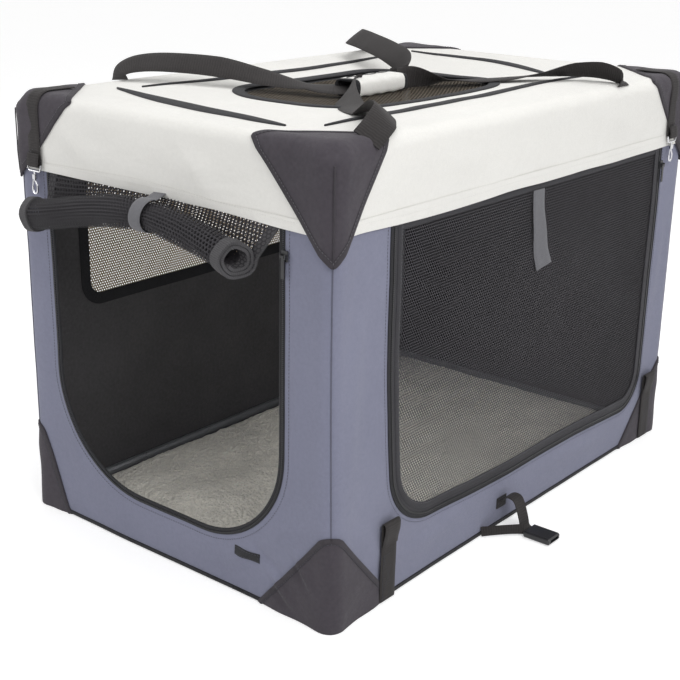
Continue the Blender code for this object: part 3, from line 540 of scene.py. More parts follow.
def makeGroup(name, inputs, outputs, kind="ShaderNodeTree"):
    # inputs are (label, type) or (label, type, value), outputs are (label, type)
    tree = bpy.data.node_groups.new(name, kind)
    for label, socketType, *value in inputs:
        socket = tree.interface.new_socket(label, in_out="INPUT", socket_type="NodeSocket" + socketType)
        if value:
            socket.default_value = value[0]
    for label, socketType in outputs:
        tree.interface.new_socket(label, in_out="OUTPUT", socket_type="NodeSocket" + socketType)
    return tree, tree.nodes.new("NodeGroupInput").outputs, tree.nodes.new("NodeGroupOutput").inputs


def inPitches(tree, given):
    # the place on the cloth, counted in pitches
    scale = calculate(tree, "DIVIDE", 1.0, given["Pitch"])
    return addNode(tree, "ShaderNodeSeparateXYZ", {0: scaled(tree, given["Vector"], scale)})


def makeWeaveGroup():
    # over and under threads of a plain weave
    inputs = [("Vector", "Vector"), ("Pitch", "Float", 0.001)]
    tree, given, wanted = makeGroup("plainWeave", inputs, [("Height", "Float")])
    parts = inPitches(tree, given)
    rows = [ridge(tree, parts[axis], pi) for axis in "XY"]
    parity = [calculate(tree, "FLOOR", parts[axis]) for axis in "XY"]
    checker = calculate(tree, "FLOORED_MODULO", calculate(tree, "ADD", *parity), 2.0)
    wire(tree, wanted, {"Height": addNode(tree, "ShaderNodeMix", {0: checker, 2: rows[0], 3: rows[1]})[0]})
    return tree


def makeNetGroup():
    # 1 on the threads and 0 in the round holes of a knitted net
    inputs = [("Vector", "Vector"), ("Pitch", "Float", 0.0046), ("Hole", "Float", 0.36)]
    tree, given, wanted = makeGroup("knittedNet", inputs, [("Thread", "Float"), ("Height", "Float")])
    parts = inPitches(tree, given)
    distances = []
    for shift in (0.0, 0.5):
        squares = []
        for axis, step in (("X", 1.0), ("Y", sqrt(3))):
            shifted = calculate(tree, "ADD", parts[axis], shift * step)
            away = calculate(tree, "SUBTRACT", calculate(tree, "FLOORED_MODULO", shifted, step), step / 2)
            squares.append(calculate(tree, "MULTIPLY", away, away))
        distances.append(calculate(tree, "SQRT", calculate(tree, "ADD", *squares)))
    nearest = calculate(tree, "MINIMUM", *distances)
    wire(tree, wanted, {"Thread": calculate(tree, "GREATER_THAN", nearest, given["Hole"]), "Height": nearest})
    return tree


def makeRibGroup():
    # the crosswise ribs of webbing, each broken into short floats
    inputs = [("Vector", "Vector"), ("Pitch", "Float", 0.0022)]
    tree, given, wanted = makeGroup("webbingRibs", inputs, [("Height", "Float")])
    parts = inPitches(tree, given)
    zigzag = calculate(tree, "PINGPONG", parts["Y"], 1.6)
    slanted = calculate(tree, "ADD", parts["X"], calculate(tree, "MULTIPLY", zigzag, 0.14))
    rib = calculate(tree, "MULTIPLY", ridge(tree, slanted, pi), 0.75)
    wire(tree, wanted, {"Height": calculate(tree, "MULTIPLY_ADD", ridge(tree, parts["Y"], pi * 2), 0.25, rib)})
    return tree


def makeDyeGroup():
    # soft uneven dye and light dust, for every material
    inputs = [("Vector", "Vector"), ("Color", "Color"), ("Scale", "Float", 9.0), ("Amount", "Float", 0.12)]
    outputs = [("Color", "Color"), ("Roughness", "Float"), ("Value", "Float")]
    tree, given, wanted = makeGroup("unevenDye", inputs, outputs)
    broad = grainOf(tree, given["Vector"], given["Scale"], 4.0, Roughness=0.55)
    fine = grainOf(tree, given["Vector"], calculate(tree, "MULTIPLY", given["Scale"], 28.0), 2.0)
    mixed = calculate(tree, "MULTIPLY_ADD", fine, 0.45, calculate(tree, "MULTIPLY", broad, 0.55))
    spread = mapped(tree, mixed, 0.35, 0.65, -0.5, 0.5)
    factor = calculate(tree, "MULTIPLY_ADD", spread, given["Amount"], 1.0)
    roughness = mapped(tree, mixed, 0.3, 0.7, 0.9, 0.72)
    wire(tree, wanted, {"Color": scaled(tree, given["Color"], factor), "Roughness": roughness, "Value": mixed})
    return tree


weaveGroup, netGroup, ribGroup, dyeGroup = makeWeaveGroup(), makeNetGroup(), makeRibGroup(), makeDyeGroup()


# Materials

def newMaterial(name):
    made = bpy.data.materials.new(name)
    made.use_nodes = True
    tree = made.node_tree
    return made, tree, tree.nodes["Principled BSDF"].inputs, addNode(tree, "ShaderNodeTexCoord")


def dyed(name, colour, scale, amount):
    made, tree, shader, coords = newMaterial(name)
    values = {"Vector": coords["Object"], "Color": (*colour, 1), "Scale": scale, "Amount": amount}
    dye = addNode(tree, "ShaderNodeGroup", values, node_tree=dyeGroup)
    wire(tree, shader, {"Base Color": dye["Color"], "Roughness": dye["Roughness"]})
    return made, tree, shader, coords, dye


def bump(tree, shader, height, strength, distance, before=None):
    values = {"Height": height, "Strength": strength, "Distance": distance}
    made = addNode(tree, "ShaderNodeBump", {**values, "Normal": before} if before else values)[0]
    wire(tree, shader, {"Normal": made})
    return made


cloth = {
    "group": weaveGroup, "pitch": 0.0011, "grooveShadeCrestLight": (0.86, 1.04), "relief": (0.5, 0.0002),
    "dye": 7.0, "amount": 0.10, "sheen": 0.15, "creases": 0.006,
}
tape = {
    "group": ribGroup, "pitch": 0.0022, "grooveShadeCrestLight": (0.70, 1.15), "relief": (0.7, 0.0006),
    "dye": 12.0, "amount": 0.16, "sheen": 0.05, "creases": 0,
}


def woven(name, colour, kind=cloth, **own):
    own = {**kind, **own}
    made, tree, shader, coords, dye = dyed(name, colour, own["dye"], own["amount"])
    values = {"Vector": coords["UV"], "Pitch": own["pitch"]}
    threads = addNode(tree, "ShaderNodeGroup", values, node_tree=own["group"])["Height"]
    # darker in the grooves and lighter on the crests of the threads: painted shade and painted highlight of the weave
    colour = scaled(tree, dye["Color"], mapped(tree, threads, 0.0, 1.0, *own["grooveShadeCrestLight"]))
    wire(tree, shader, {"Base Color": colour, "Sheen Weight": own["sheen"], "Specular IOR Level": 0.25})
    before = None
    if own["creases"]:
        before = bump(tree, shader, grainOf(tree, coords["Object"], 11.0, 3.0, Distortion=0.6), 0.5, own["creases"])
    bump(tree, shader, threads, *own["relief"], before)
    return made


def knitted(name, colour, pitch, hole):
    made, tree, shader, coords, _ = dyed(name, colour, 10.0, 0.2)
    values = {"Vector": coords["UV"], "Pitch": pitch, "Hole": hole}
    threads = addNode(tree, "ShaderNodeGroup", values, node_tree=netGroup)
    wire(tree, shader, {"Alpha": threads["Thread"], "Sheen Weight": 0.05, "Specular IOR Level": 0.35})
    bump(tree, shader, threads["Height"], 0.6, 0.0006)
    return made


def plain(name, colour, roughness, metallic=0.0, grain=0.00015):
    # metal, coated tube, thread and moulded plastic: fine grain and uneven polish
    made, tree, shader, coords, dye = dyed(name, colour, 14.0, 0.1)
    polish = mapped(tree, dye["Value"], 0.3, 0.7, roughness * 0.75, roughness * 1.25)
    wire(tree, shader, {"Roughness": polish, "Metallic": metallic})
    bump(tree, shader, grainOf(tree, coords["Object"], 600.0, 3.0), 0.3, grain)
    return made


def pile(name, colour):
    made, tree, shader, coords, _ = dyed(name, colour, 16.0, 0.35)
    tufts = addNode(tree, "ShaderNodeTexVoronoi", {"Vector": coords["Object"], "Scale": 190.0})[0]
    before = bump(tree, shader, tufts, 0.8, 0.004)
    bump(tree, shader, grainOf(tree, coords["Object"], 900.0, 4.0), 0.8, 0.002, before)
    wire(tree, shader, {"Sheen Weight": 0.5})
    return made


cream = woven("creamCloth", (0.800, 0.790, 0.757), amount=0.05, creases=0.009)
grey = woven("greyCloth", (0.200, 0.207, 0.283))
seamCloth = woven("seamGrey", (0.105, 0.108, 0.150))
charcoal = woven("charcoalCloth", (0.056, 0.049, 0.059), amount=0.2, creases=0.012, sheen=0.08)
hemCloth = woven("charcoalHem", (0.046, 0.041, 0.048), amount=0.2, sheen=0.05)
# the inner sides take a grey darker than the walls' own: painted shade of the dim inside
shadedInside = woven("insidePaintedShade", (0.085, 0.082, 0.086), amount=0.3, sheen=0.05)
tieCloth = woven("greyTie", (0.140, 0.140, 0.152), pitch=0.0016)
binding = woven("darkBinding", (0.022, 0.022, 0.025), tape, pitch=0.0020)
rollCloth = woven("rollBinding", (0.072, 0.070, 0.074), tape)
tapeCloth = woven("doorTape", (0.036, 0.035, 0.040), tape)
webbing = woven("charcoalWebbing", (0.031, 0.028, 0.028), tape, pitch=0.0038)
doorMesh = knitted("darkNet", (0.050, 0.047, 0.054), 0.0046, 0.415)
roofMesh = knitted("roofNet", (0.125, 0.100, 0.070), 0.0060, 0.42)
# the khaki colour is painted light: it stands in for light coming through the translucent threads from outside
backlitWindowNet = knitted("windowNetPaintedBacklight", (0.340, 0.260, 0.170), 0.0046, 0.23)
rollMesh = knitted("rolledNet", (0.028, 0.026, 0.030), 0.0056, 0.36)
plush = pile("plushPile", (0.930, 0.890, 0.800))
thread = plain("sewingThread", (0.130, 0.128, 0.140), 0.7, grain=0.0001)
darkThread = plain("darkThread", (0.060, 0.061, 0.080), 0.7, grain=0.0001)
creamThread = plain("creamThread", (0.70, 0.69, 0.66), 0.7, grain=0.0001)
coatedTube = plain("coatedTube", (0.30, 0.31, 0.33), 0.35, metallic=0.6)
chrome = plain("polishedChrome", (0.62, 0.62, 0.64), 0.16, metallic=1.0)
plastic = plain("blackPlastic", (0.018, 0.018, 0.020), 0.38)
print("materials made")


# Stitches and zip teeth: small solids set out along a line

stitch = {"spacing": 0.0046, "size": (0.0007, 0.0007, 0.0032)}
tooth = {"spacing": 0.0026, "size": (0.0026, 0.0030, 0.0015)}
stitchLines = {"base": [], "cover": [], "charcoal": [], "door": []}
toothLines = []


def makeRepeatTree():
    inputs = [
        ("Geometry", "Geometry"), ("Spacing", "Float"), ("Size", "Vector"), ("Round", "Bool"), ("Material", "Material"),
    ]
    tree, given, wanted = makeGroup("setOutAlongLine", inputs, [("Geometry", "Geometry")], "GeometryNodeTree")
    line = addNode(tree, "GeometryNodeMeshToCurve", {0: given["Geometry"]})[0]
    points = addNode(tree, "GeometryNodeCurveToPoints", {"Curve": line, "Length": given["Spacing"]}, mode="LENGTH")
    bead = addNode(tree, "GeometryNodeMeshUVSphere", {"Segments": 6, "Rings": 4, "Radius": 0.5})["Mesh"]
    block = addNode(tree, "GeometryNodeMeshCube", {"Size": (1, 1, 1)})["Mesh"]
    choice = {"Switch": given["Round"], "False": block, "True": bead}
    values = {
        "Points": points["Points"], "Rotation": points["Rotation"], "Scale": given["Size"],
        "Instance": addNode(tree, "GeometryNodeSwitch", choice, input_type="GEOMETRY")[0],
    }
    placed = addNode(tree, "GeometryNodeInstanceOnPoints", values)[0]
    real = addNode(tree, "GeometryNodeRealizeInstances", {0: placed})[0]
    finished = addNode(tree, "GeometryNodeSetMaterial", {"Geometry": real, "Material": given["Material"]})[0]
    wire(tree, wanted, {0: finished})
    return tree


repeatTree = makeRepeatTree()


def setOut(lines, item, isRound, finish):
    # lines are lists of points in space, with the item standing at each step
    bm = bmesh.new()
    for points, closed in lines:
        made = [bm.verts.new(p) for p in points]
        for a, b in zip(made, made[1:] + (made[:1] if closed else [])):
            bm.edges.new((a, b))
    obj = addObject("line", meshOf(bm))
    modifier = obj.modifiers.new("SetOut", "NODES")
    modifier.node_group = repeatTree
    values = {"Spacing": item["spacing"], "Size": item["size"], "Round": isRound, "Material": finish}
    for socket in repeatTree.interface.items_tree:
        if socket.name in values:
            modifier[socket.identifier] = values[socket.name]
    return baked(obj)


# Openings in the walls

doors = {
    "frontLeft": -0.225, "frontRight": 0.207, "frontSill": 0.078, "frontTop": 0.538, "frontCorners": (0.165, 0.145),
    "sideFront": -0.335, "sideRear": 0.375, "sideSill": 0.082, "sideCorners": (0.085, 0.062), "jambLow": 0.36,
    "sillReach": 0.28, "lean": 0.022, "rise": 0.011, "slope": 0.015, "wave": 0.0026,
}


def frontLoop():
    u0, u1, v0, v1 = (doors[key] for key in ("frontLeft", "frontRight", "frontSill", "frontTop"))
    return [*lowerCorners(u0, u1, v0, *doors["frontCorners"], 18), (u1, v1), (u0, v1)]


def sideLoop():
    # unequal lower corners, and a sill that slopes and waves
    u0, u1, v0, straight = (doors[key] for key in ("sideFront", "sideRear", "sideSill", "jambLow"))
    path = [(u0, straight), *lowerCorners(u0, u1, v0, *doors["sideCorners"], 12), (u1, straight)]
    made = []
    for u, v in dense(path, 0.012, False):
        s = (u - u0) / (u1 - u0)
        low = max(1 - (v - v0) / doors["sillReach"], 0) ** 2
        rise = doors["rise"] - doors["slope"] * s + doors["wave"] * sin(10 * s + 1)
        made.append((u + doors["lean"] * low * (1 - s) ** 2, v + low * rise))
    return made + [(u1, valanceLow), (u0, valanceLow)]


def openPath(loop, upTo=valanceLow):
    # the loop without its straight top edge
    return [(loop[0][0], upTo), *loop[:-2], (loop[-3][0], upTo)]


frontDoorway, sideDoorway = frontLoop(), sideLoop()
windowLoop = rounded(-0.350, 0.350, 0.300, 0.500, 0.030, 8)


# Walls

wall = {
    "thickness": 0.0018,
    "frontWall": ("front", halfX, [frontDoorway], "front_wall"),
    "rearWall": ("rear", halfX, [], "rear_wall"),
    "rightWall": ("right", halfY, [sideDoorway], "right_wall"),
    "leftWall": ("left", halfY, [windowLoop], "left_wall"),
}


def rectangleLoop(us, vs):
    loop = [(u, vs[0]) for u in us] + [(us[-1], v) for v in vs[1:]]
    return loop + [(u, vs[-1]) for u in us[-2::-1]] + [(us[0], v) for v in vs[-2:0:-1]]


def makeWalls():
    for name in ("frontWall", "rearWall", "rightWall", "leftWall"):
        face, half, holes, node = wall[name]
        us, vs = edgeLines(-half, half), list(np.linspace(0, wallTop, round(wallTop / cabin["grid"])))
        holes = [dense(hole, cabin["edgeGrid"]) for hole in holes]
        parts = [(face, *fillRegion(rectangleLoop(us, vs), holes, us, vs), 0.0)]
        flat = (2 * half, wallTop)
        addSheet(name, parts, "base", [grey, shadedInside], "grey_cloth", node, wall["thickness"], flat)


makeWalls()
print("walls made")


# Bindings of the openings. Each row: way in from the edge, width, lift and thickness

frontEdge = {
    "upTo": 0.524, "binding": (0.0008, 0.0052, -0.0012, 0.0028), "piping": (-0.0050, 0.0020, 0.0002, 0.0012),
    "stitches": (-0.0130, 0.0004), "teeth": (-0.0030, 0.0004),
}
window = {
    "outer": (0, 0.016, 0.0002, 0.0012), "inner": (0, 0.018, -0.0034, 0.0012), "stitches": (-0.0055, 0.0016),
    "inset": -0.006, "us": (-0.36, 0.36, 40), "vs": (0.29, 0.51, 14), "flat": (0.724, 0.224),
}


def makeFrontDoorway():
    path = openPath(frontDoorway, frontEdge["upTo"])
    tapes = [edgeTape("front", path, frontEdge[key], profile=cordProfile) for key in ("binding", "piping")]
    addPiece("frontDoorBinding", tapes, "base", binding)
    stitchLines["base"].append(edgeLine("front", path, frontEdge["stitches"]))
    toothLines.append(edgeLine("front", path, frontEdge["teeth"]))


def makeWindow():
    tapes = [edgeTape("left", windowLoop, window[key], True) for key in ("outer", "inner")]
    addPiece("leftWindowBinding", tapes, "base", binding)
    addNet("leftWindowNet", "left", windowLoop, window, "base", backlitWindowNet, "left_window_net", True)
    stitchLines["base"].append(edgeLine("left", windowLoop, window["stitches"], True))


makeFrontDoorway()
makeWindow()


# Net door on the long side, zipped into the wall, with its hanging tie

sideDoor = {
    "tape": (-0.0032, 0.0056, 0.0002, 0.0008), "piping": (-0.0068, 0.0022, 0.0002, 0.0016),
    "teeth": (-0.0003, 0.0006), "stitches": (-0.0130, 0.0004),
    "inner": (0.0038, 0.0062, 0.0002, 0.0009), "rim": (0.0110, 0.0096, 0.0004, 0.0016),
    "upper": (0.007, 0.0002, 0.0010), "upperIn": 0.004, "upperDown": 0.0045, "rimStitches": (0.0142, 0.0021),
    "inset": 0.006, "us": (doors["sideFront"], doors["sideRear"], 50), "vs": (doors["sideSill"], valanceLow, 30),
    "flat": (0.700, 0.435),
}
sideTie = {
    "width": 0.030, "thickness": 0.0013, "cup": 0.0006,
    # along the wall, height and lift, with the way across the tie
    "points": [
        (0, 0.508, 0.0014), (0, 0.480, 0.0030), (0.004, 0.450, 0.0046), (0.011, 0.418, 0.0040), (0.020, 0.392, 0.0060),
    ],
    "sides": [(0, 1, 0.02), (0, 1, 0), (0.1, 1, 0.06), (0.2, 1, 0.16), (0.3, 1, 0.3)],
}


def makeSideDoor():
    path = openPath(sideDoorway)
    tapes = [
        edgeTape("right", path, sideDoor["tape"]), edgeTape("right", path, sideDoor["piping"], profile=cordProfile),
    ]
    addPiece("sideDoorwayTape", tapes, "base", binding)
    toothLines.append(edgeLine("right", path, sideDoor["teeth"]))
    stitchLines["base"].append(edgeLine("right", path, sideDoor["stitches"]))
    height = valanceLow - sideDoor["upperDown"]
    across = [(doors["sideFront"] + sideDoor["upperIn"], height), (doors["sideRear"] - sideDoor["upperIn"], height)]
    tapes = [edgeTape("right", path, sideDoor[key]) for key in ("inner", "rim")]
    addPiece("sideDoorFrame", tapes + [tapeMesh("right", across, *sideDoor["upper"])], "side_door", tapeCloth)
    stitchLines["door"].append(edgeLine("right", path, sideDoor["rimStitches"]))
    addNet("sideDoorNet", "right", path, sideDoor, "side_door", doorMesh, "side_door")


def makeSideTie():
    line = [skin(faces["right"](u, v), lift) for u, v, lift in sideTie["points"]]
    mesh = ribbonMesh(line, sideTie["sides"], sideTie["width"], sideTie["thickness"], sideTie["cup"])
    addPiece("sideTie", mesh, "side_tie", tieCloth, "grey_cloth", "side_tie")


makeSideDoor()
makeSideTie()
print("doors made")


# Roof cover with its valance

roof = {
    "cloth": 0.0019, "windowCut": 0.26 * 0.41, "valanceRows": 9, "uneven": 0.0022, "unevenTurn": 3.3,
    "edgeOut": 0.0012, "edgeReach": 0.05,   # the valance stands out a little at its lower edge
    "hemUp": 0.0055, "hem": (0.0105, cover + 0.0010, 0.0003), "stitchUp": 0.0058, "stitchLift": cover + 0.0013,
    "outer": (0.003, 0.018, 0.0024, 0.0020), "inner": (0.006, 0.020, -0.0016, 0.0014), "stitches": (-0.004, 0.0040),
    "inset": -0.008, "us": (-0.14, 0.14, 20), "vs": (-0.25, 0.20, 34), "flat": (0.276, 0.433),
    "flap": (0.0022, 0.0026),   # lift and thickness of the dark edges
}
roofWindow = rounded(-0.130, 0.130, -0.232, 0.185, 0.090, 12)
# how far the valance is drawn up, by the way round the cabin from the front's middle
drawnUp = {
    "at": (
        -halfX, -0.18, -0.046, 0.038, 0.105, 0.20,
        halfX, halfX + 0.12, perimeter - halfX - 0.15, perimeter - halfX,
    ),
    "by": (0.009, 0.012, 0.016, 0.013, 0.008, 0.005, 0.003, 0, 0, 0.009),
}
# dark edges of the roof flap that show between its folds: width and path
flapEdges = [
    (0.032, [(-0.213, -0.335), (-0.13, -0.350), (-0.03, -0.368), (0.07, -0.380), (0.160, -0.394)]),
    (0.024, [(0.196, -0.362), (0.186, -0.22), (0.178, -0.05), (0.172, 0.10), (0.176, 0.20), (0.186, 0.29)]),
    (0.022, [(-0.200, 0.350), (-0.10, 0.348), (-0.02, 0.346), (0.05, 0.322), (0.10, 0.292), (0.140, 0.272)]),
    (0.018, [(-0.200, -0.30), (-0.188, -0.10), (-0.184, 0.10), (-0.196, 0.28)]),
]


def ringLines():
    lines, start = [], -halfX
    for length in (2 * halfX, 2 * halfY) * 2:
        lines += edgeLines(start, start + length)[:-1]
        start += length
    return lines + [start]


def valanceEdge(s):
    # the lower edge hangs a little unevenly, and the rolled door draws it up in front
    turn = 2 * pi * s / perimeter
    place = Vector((roof["unevenTurn"] * cos(turn), roof["unevenTurn"] * sin(turn), 5.0))
    return valanceLow + float(np.interp(s, drawnUp["at"], drawnUp["by"])) + roof["uneven"] * noise.noise(place)


def valanceLift(s, z):
    out = roof["edgeOut"] * fade((z - valanceLow) / roof["edgeReach"])
    return cover + out * (0.6 + noise.noise(Vector((s * 9, 0, 1))))


def makeRoof():
    ss = ringLines()
    outline = [around(s, top)[:2] for s in ss[:-1]]
    holes = [dense(roofWindow, cabin["edgeGrid"])]
    flatPart = fillRegion(outline, holes, edgeLines(-halfX, halfX), edgeLines(-halfY, halfY))
    depth = top - valanceLow
    fine = cabin["fine"]
    zs = [top - fine * n for n in range(4)] + list(np.linspace(top - 4 * fine, valanceLow, roof["valanceRows"]))
    points = [(s, valanceEdge(s) + (z - valanceLow) * (top - valanceEdge(s)) / depth) for s in ss for z in zs]
    rows = len(zs)
    squares = []
    for n in range(len(ss) - 1):
        for k in range(n * rows, n * rows + rows - 1):
            squares.append((k, k + 1, k + rows + 1, k + rows))
    parts = [("top", *flatPart, cover), ("around", points, squares, valanceLift)]
    mesh = thickened(sheetMesh(parts), roof["cloth"], [cream, shadedInside])
    made = addPiece("roofCover", mesh, "top", slot="cream_cloth", node="roof_cover")
    hem = [(s, valanceEdge(s) + roof["hemUp"]) for s in np.linspace(-halfX, perimeter - halfX, 240)[:-1]]
    addPiece("valanceHem", tapeMesh("around", hem, *roof["hem"], closed=True), "top", cream, "cream_cloth")
    upper = [(s, v + roof["stitchUp"]) for s, v in hem]
    stitchLines["cover"].append(onFace("around", upper, roof["stitchLift"], True))


def makeRoofWindow():
    tapes = [edgeTape("top", roofWindow, roof[key], True) for key in ("outer", "inner")]
    addPiece("roofWindowBinding", tapes, "top", binding)
    addNet("roofNet", "top", roofWindow, roof, "top", roofMesh, "roof_net", True)
    stitchLines["charcoal"].append(edgeLine("top", roofWindow, roof["stitches"], True))


def pointed(share):
    return 0.10 + 0.90 * sin(pi * share) ** 0.7


def makeFlapEdges():
    tapes = []
    for width, path in flapEdges:
        path = smoothed(path, 2)
        tapes.append(tapeMesh("top", path, width, *roof["flap"], taper=pointed, spacing=0.008, profile=cordProfile))
    addPiece("roofFlapEdges", tapes, "top", binding)


makeRoof()
makeRoofWindow()
makeFlapEdges()
print("roof made")


# Corner patches. Legs run along the end, along the side and down the upright edge

cornerSigns = {"front_left": (-1, -1), "front_right": (1, -1), "rear_left": (-1, 1), "rear_right": (1, 1)}
uprights = {
    "front_right": halfX, "rear_right": halfX + 2 * halfY, "rear_left": 3 * halfX + 2 * halfY, "front_left": -halfX,
}
patch = {
    "cloth": 0.0014, "puff": 0.0026, "puffSlope": 3.2, "tip": 0.010, "grid": 0.005, "firstLines": 0.004,
    "hemIn": 0.0040, "hemWidth": 0.0076, "hemLift": 0.0001, "hemThickness": 0.0011,
    "stitchIn": 0.0072, "stitchLift": 0.0016, "seam": (0.010, 0.020, 0.0030, 0.0016),
}
patchLevels = {
    "top": {
        "body": "top", "stitches": "charcoal", "height": top, "down": -1, "lift": cover + 0.0018, "blunt": 0,
        "front_left": (0.112, 0.120, 0.118), "front_right": (0.130, 0.101, 0.142), "other": (0.130, 0.120, 0.142),
    },
    "floor": {
        "body": "base", "stitches": "base", "height": 0, "down": 1, "lift": 0.0018, "blunt": 0.017,
        "front_left": (0.070, 0.130, 0.140), "other": (0.120, 0.130, 0.140),
    },
}


def titled(name):
    return name.title().replace("_", "")


def patchOutline(legU, legV, blunt):
    # one leg's tip, the slanted edge, the other tip: rounded, or blunt at the upright edge
    tip = patch["tip"]
    slant = [(legU, 0), (legU - 0.001, tip * 0.45), (legU - tip * 0.75, tip * 1.05)]
    if blunt:
        slant += [(blunt * 1.5, legV - blunt * 1.25), (blunt * 0.8, legV - blunt * 0.35), (0, legV - blunt * 0.22)]
    else:
        slant += [(tip * 1.05, legV - tip * 0.75), (tip * 0.45, legV - 0.001), (0, legV)]
    return smoothed(slant, 3)


def puffOut(share):
    # the patch rises from its edge, and is level further in
    return patch["puff"] * min(1, patch["puffSlope"] * share)


def facetPart(facet, base, blunt):
    face, (u0, v0), (signU, signV), legU, legV = facet
    grid = patch["grid"]
    first = [patch["firstLines"] * n for n in range(1, 5)]
    us, vs = (first + list(np.arange(0.021, leg, grid)) for leg in (legU, legV))
    points, triangles = fillRegion(dense([(0, 0), *patchOutline(legU, legV, blunt)], grid), [], us, vs, clear=0.0025)
    if signU * signV < 0:
        triangles = [tuple(reversed(t)) for t in triangles]

    def lift(u, v):
        p, q = abs(u - u0) / legU, abs(v - v0) / legV
        return base + puffOut(max(1 - p - q, 0)) * (0.75 + 0.25 * cos(9 * (p - q)))

    return face, [(u0 + signU * p, v0 + signV * q) for p, q in points], triangles, lift


def facetEdge(facet, inset, blunt):
    # the slanted edge moved in towards the corner
    _, (u0, v0), (signU, signV), legU, legV = facet
    path = offsetPath(dense(patchOutline(legU, legV, blunt), 0.006, False), inset)
    return [(u0 + signU * max(p, 0.0), v0 + signV * max(q, 0.0)) for p, q in path]


def addPatch(level, name):
    own = patchLevels[level]
    sx, sy = cornerSigns[name]
    turn = sx * sy
    alongEnd, alongSide, upright = own.get(name, own["other"])
    height, down, base, blunt = (own[key] for key in ("height", "down", "lift", "blunt"))
    facets = [
        ("front" if sy < 0 else "rear", (-turn * halfX, height), (turn, down), alongEnd, upright),
        ("right" if sx > 0 else "left", (turn * halfY, height), (-turn, down), alongSide, upright),
    ]
    if level == "top":
        facets.insert(0, ("top", (sx * halfX, sy * halfY), (-sx, -sy), alongEnd, alongSide))
    title = f"{level}Patch{titled(name)}"
    mesh = thickened(sheetMesh([facetPart(facet, base, blunt) for facet in facets]), patch["cloth"], [charcoal])
    addPiece(title, mesh, own["body"], node=f"{level}_patch_{name}")
    hems = []
    for facet in facets:
        edge = facetEdge(facet, patch["hemIn"], blunt)
        sizes = patch["hemWidth"], base + patch["hemLift"], patch["hemThickness"]
        hems.append(tapeMesh(facet[0], edge, *sizes, spacing=0.006))
        seam = onFace(facet[0], facetEdge(facet, patch["stitchIn"], blunt), base + patch["stitchLift"])
        stitchLines[own["stitches"]].append(seam)
    if level == "top":
        low, high, width, thickness = patch["seam"]
        path = [(uprights[name], top - upright + low), (uprights[name], top - high)]

        def puffed(_, v):
            return base + puffOut(1 - (top - v) / upright) * 0.9

        hems.append(tapeMesh("around", path, width, puffed, thickness, profile=cordProfile))
    addPiece(title + "Hem", hems, own["body"], hemCloth)


for corner in cornerSigns:
    addPatch("top", corner)
    addPatch("floor", corner)
print("patches made")


# Piping down the upright seams and round the bottom hem

piping = {
    "seam": (0.0026, 0.0, 0.0016), "seamFoot": 0.004, "seamUnder": 0.02,
    "hem": (0.0058, 0.0002, 0.0016), "hemUp": 0.0036,
}


def makePiping():
    tapes = []
    for s in uprights.values():
        path = [(s, piping["seamFoot"]), (s, valanceLow + piping["seamUnder"])]
        tapes.append(tapeMesh("around", path, *piping["seam"], profile=cordProfile))
    addPiece("uprightSeams", tapes, "base", seamCloth, "grey_cloth")
    hem = [(s, piping["hemUp"]) for s in np.linspace(-halfX, perimeter - halfX, 220)[:-1]]
    addPiece("bottomPiping", tapeMesh("around", hem, *piping["hem"], closed=True), "base", binding)


makePiping()


# Rolled front door

roll = {
    "left": -0.230, "right": 0.160, "turns": 2.4, "steps": 26, "core": 0.0118, "radius": 0.0230, "cloth": 0.0018,
    "y": -0.4815, "seamY": -0.4522, "seamIn": 0.004,
    "binding": 0.012, "bindingPast": 0.001, "bindingThickness": 0.0042, "openEnd": 0.02, "endTurn": 0.45,
    # unevenness: height, how often round a turn, and its drift along the roll
    "wobble": ((0.045, 2, 14), (0.030, 5, 31), (0.018, 3, -60)),
}
rollTie = {
    "x": 0.002, "pinch": 0.20, "pinchReach": 0.024, "clear": 0.0030, "startY": -0.4575,
    "start": 70, "sweep": 262, "width": 0.021, "thickness": 0.0013,
}
# heights of the roll's middle along its length: it hangs from the tie
rollHeights = np.polyfit(
    (-0.230, -0.17, -0.108, -0.03, 0.0, 0.04, 0.081, 0.12, 0.160),
    (0.471, 0.483, 0.495, 0.507, 0.508, 0.505, 0.498, 0.489, 0.479), 4,
)


def rollShape(x):
    # centre height, how loosely the door is wound, how flat it is, and how far its end is turned
    t = (x - roll["left"]) / (roll["right"] - roll["left"])
    pinch = 1 - rollTie["pinch"] * exp(-((x - rollTie["x"]) / rollTie["pinchReach"]) ** 2)
    loose = 1 + roll["openEnd"] * (1 - fade((t - 0.62) / 0.36)) + 0.04 * fade(t / 0.3)
    flat = 1 + 0.05 * sin(9 * x + 1) + 0.07 * fade(t / 0.35)
    turned = roll["endTurn"] * (1 - fade((t - 0.72) / 0.28))
    return float(np.polyval(rollHeights, x)), pinch * loose, flat, turned


def rollLine(x):
    height, scale, flat, turned = rollShape(x)
    line = []
    total = round(roll["steps"] * roll["turns"])
    grow = roll["radius"] * scale - roll["core"]
    for n in range(total + 1):
        angle = 2 * pi * (n / roll["steps"] - roll["turns"])
        wobble = sum(share * sin(often * angle + drift * x) for share, often, drift in roll["wobble"])
        radius = (roll["core"] + grow * n / total) * (1 + wobble)
        across = radius * cos(angle) / flat
        line.append((x + across * turned, roll["y"] + across, height + radius * sin(angle) * flat))
    # the last stretch fans out to the full width of the doorway's seam
    start, y, z = line[-1]
    left, right = doors["frontLeft"] + roll["seamIn"], doors["frontRight"] - roll["seamIn"]
    seamX = left + (x - roll["left"]) / (roll["right"] - roll["left"]) * (right - left)
    seamZ = valanceEdge(seamX) + 0.0020
    for t in (k / 6 for k in range(1, 7)):
        line.append((start + (seamX - start) * t, y + (roll["seamY"] - y) * t, z + (seamZ - z) * t))
    return line


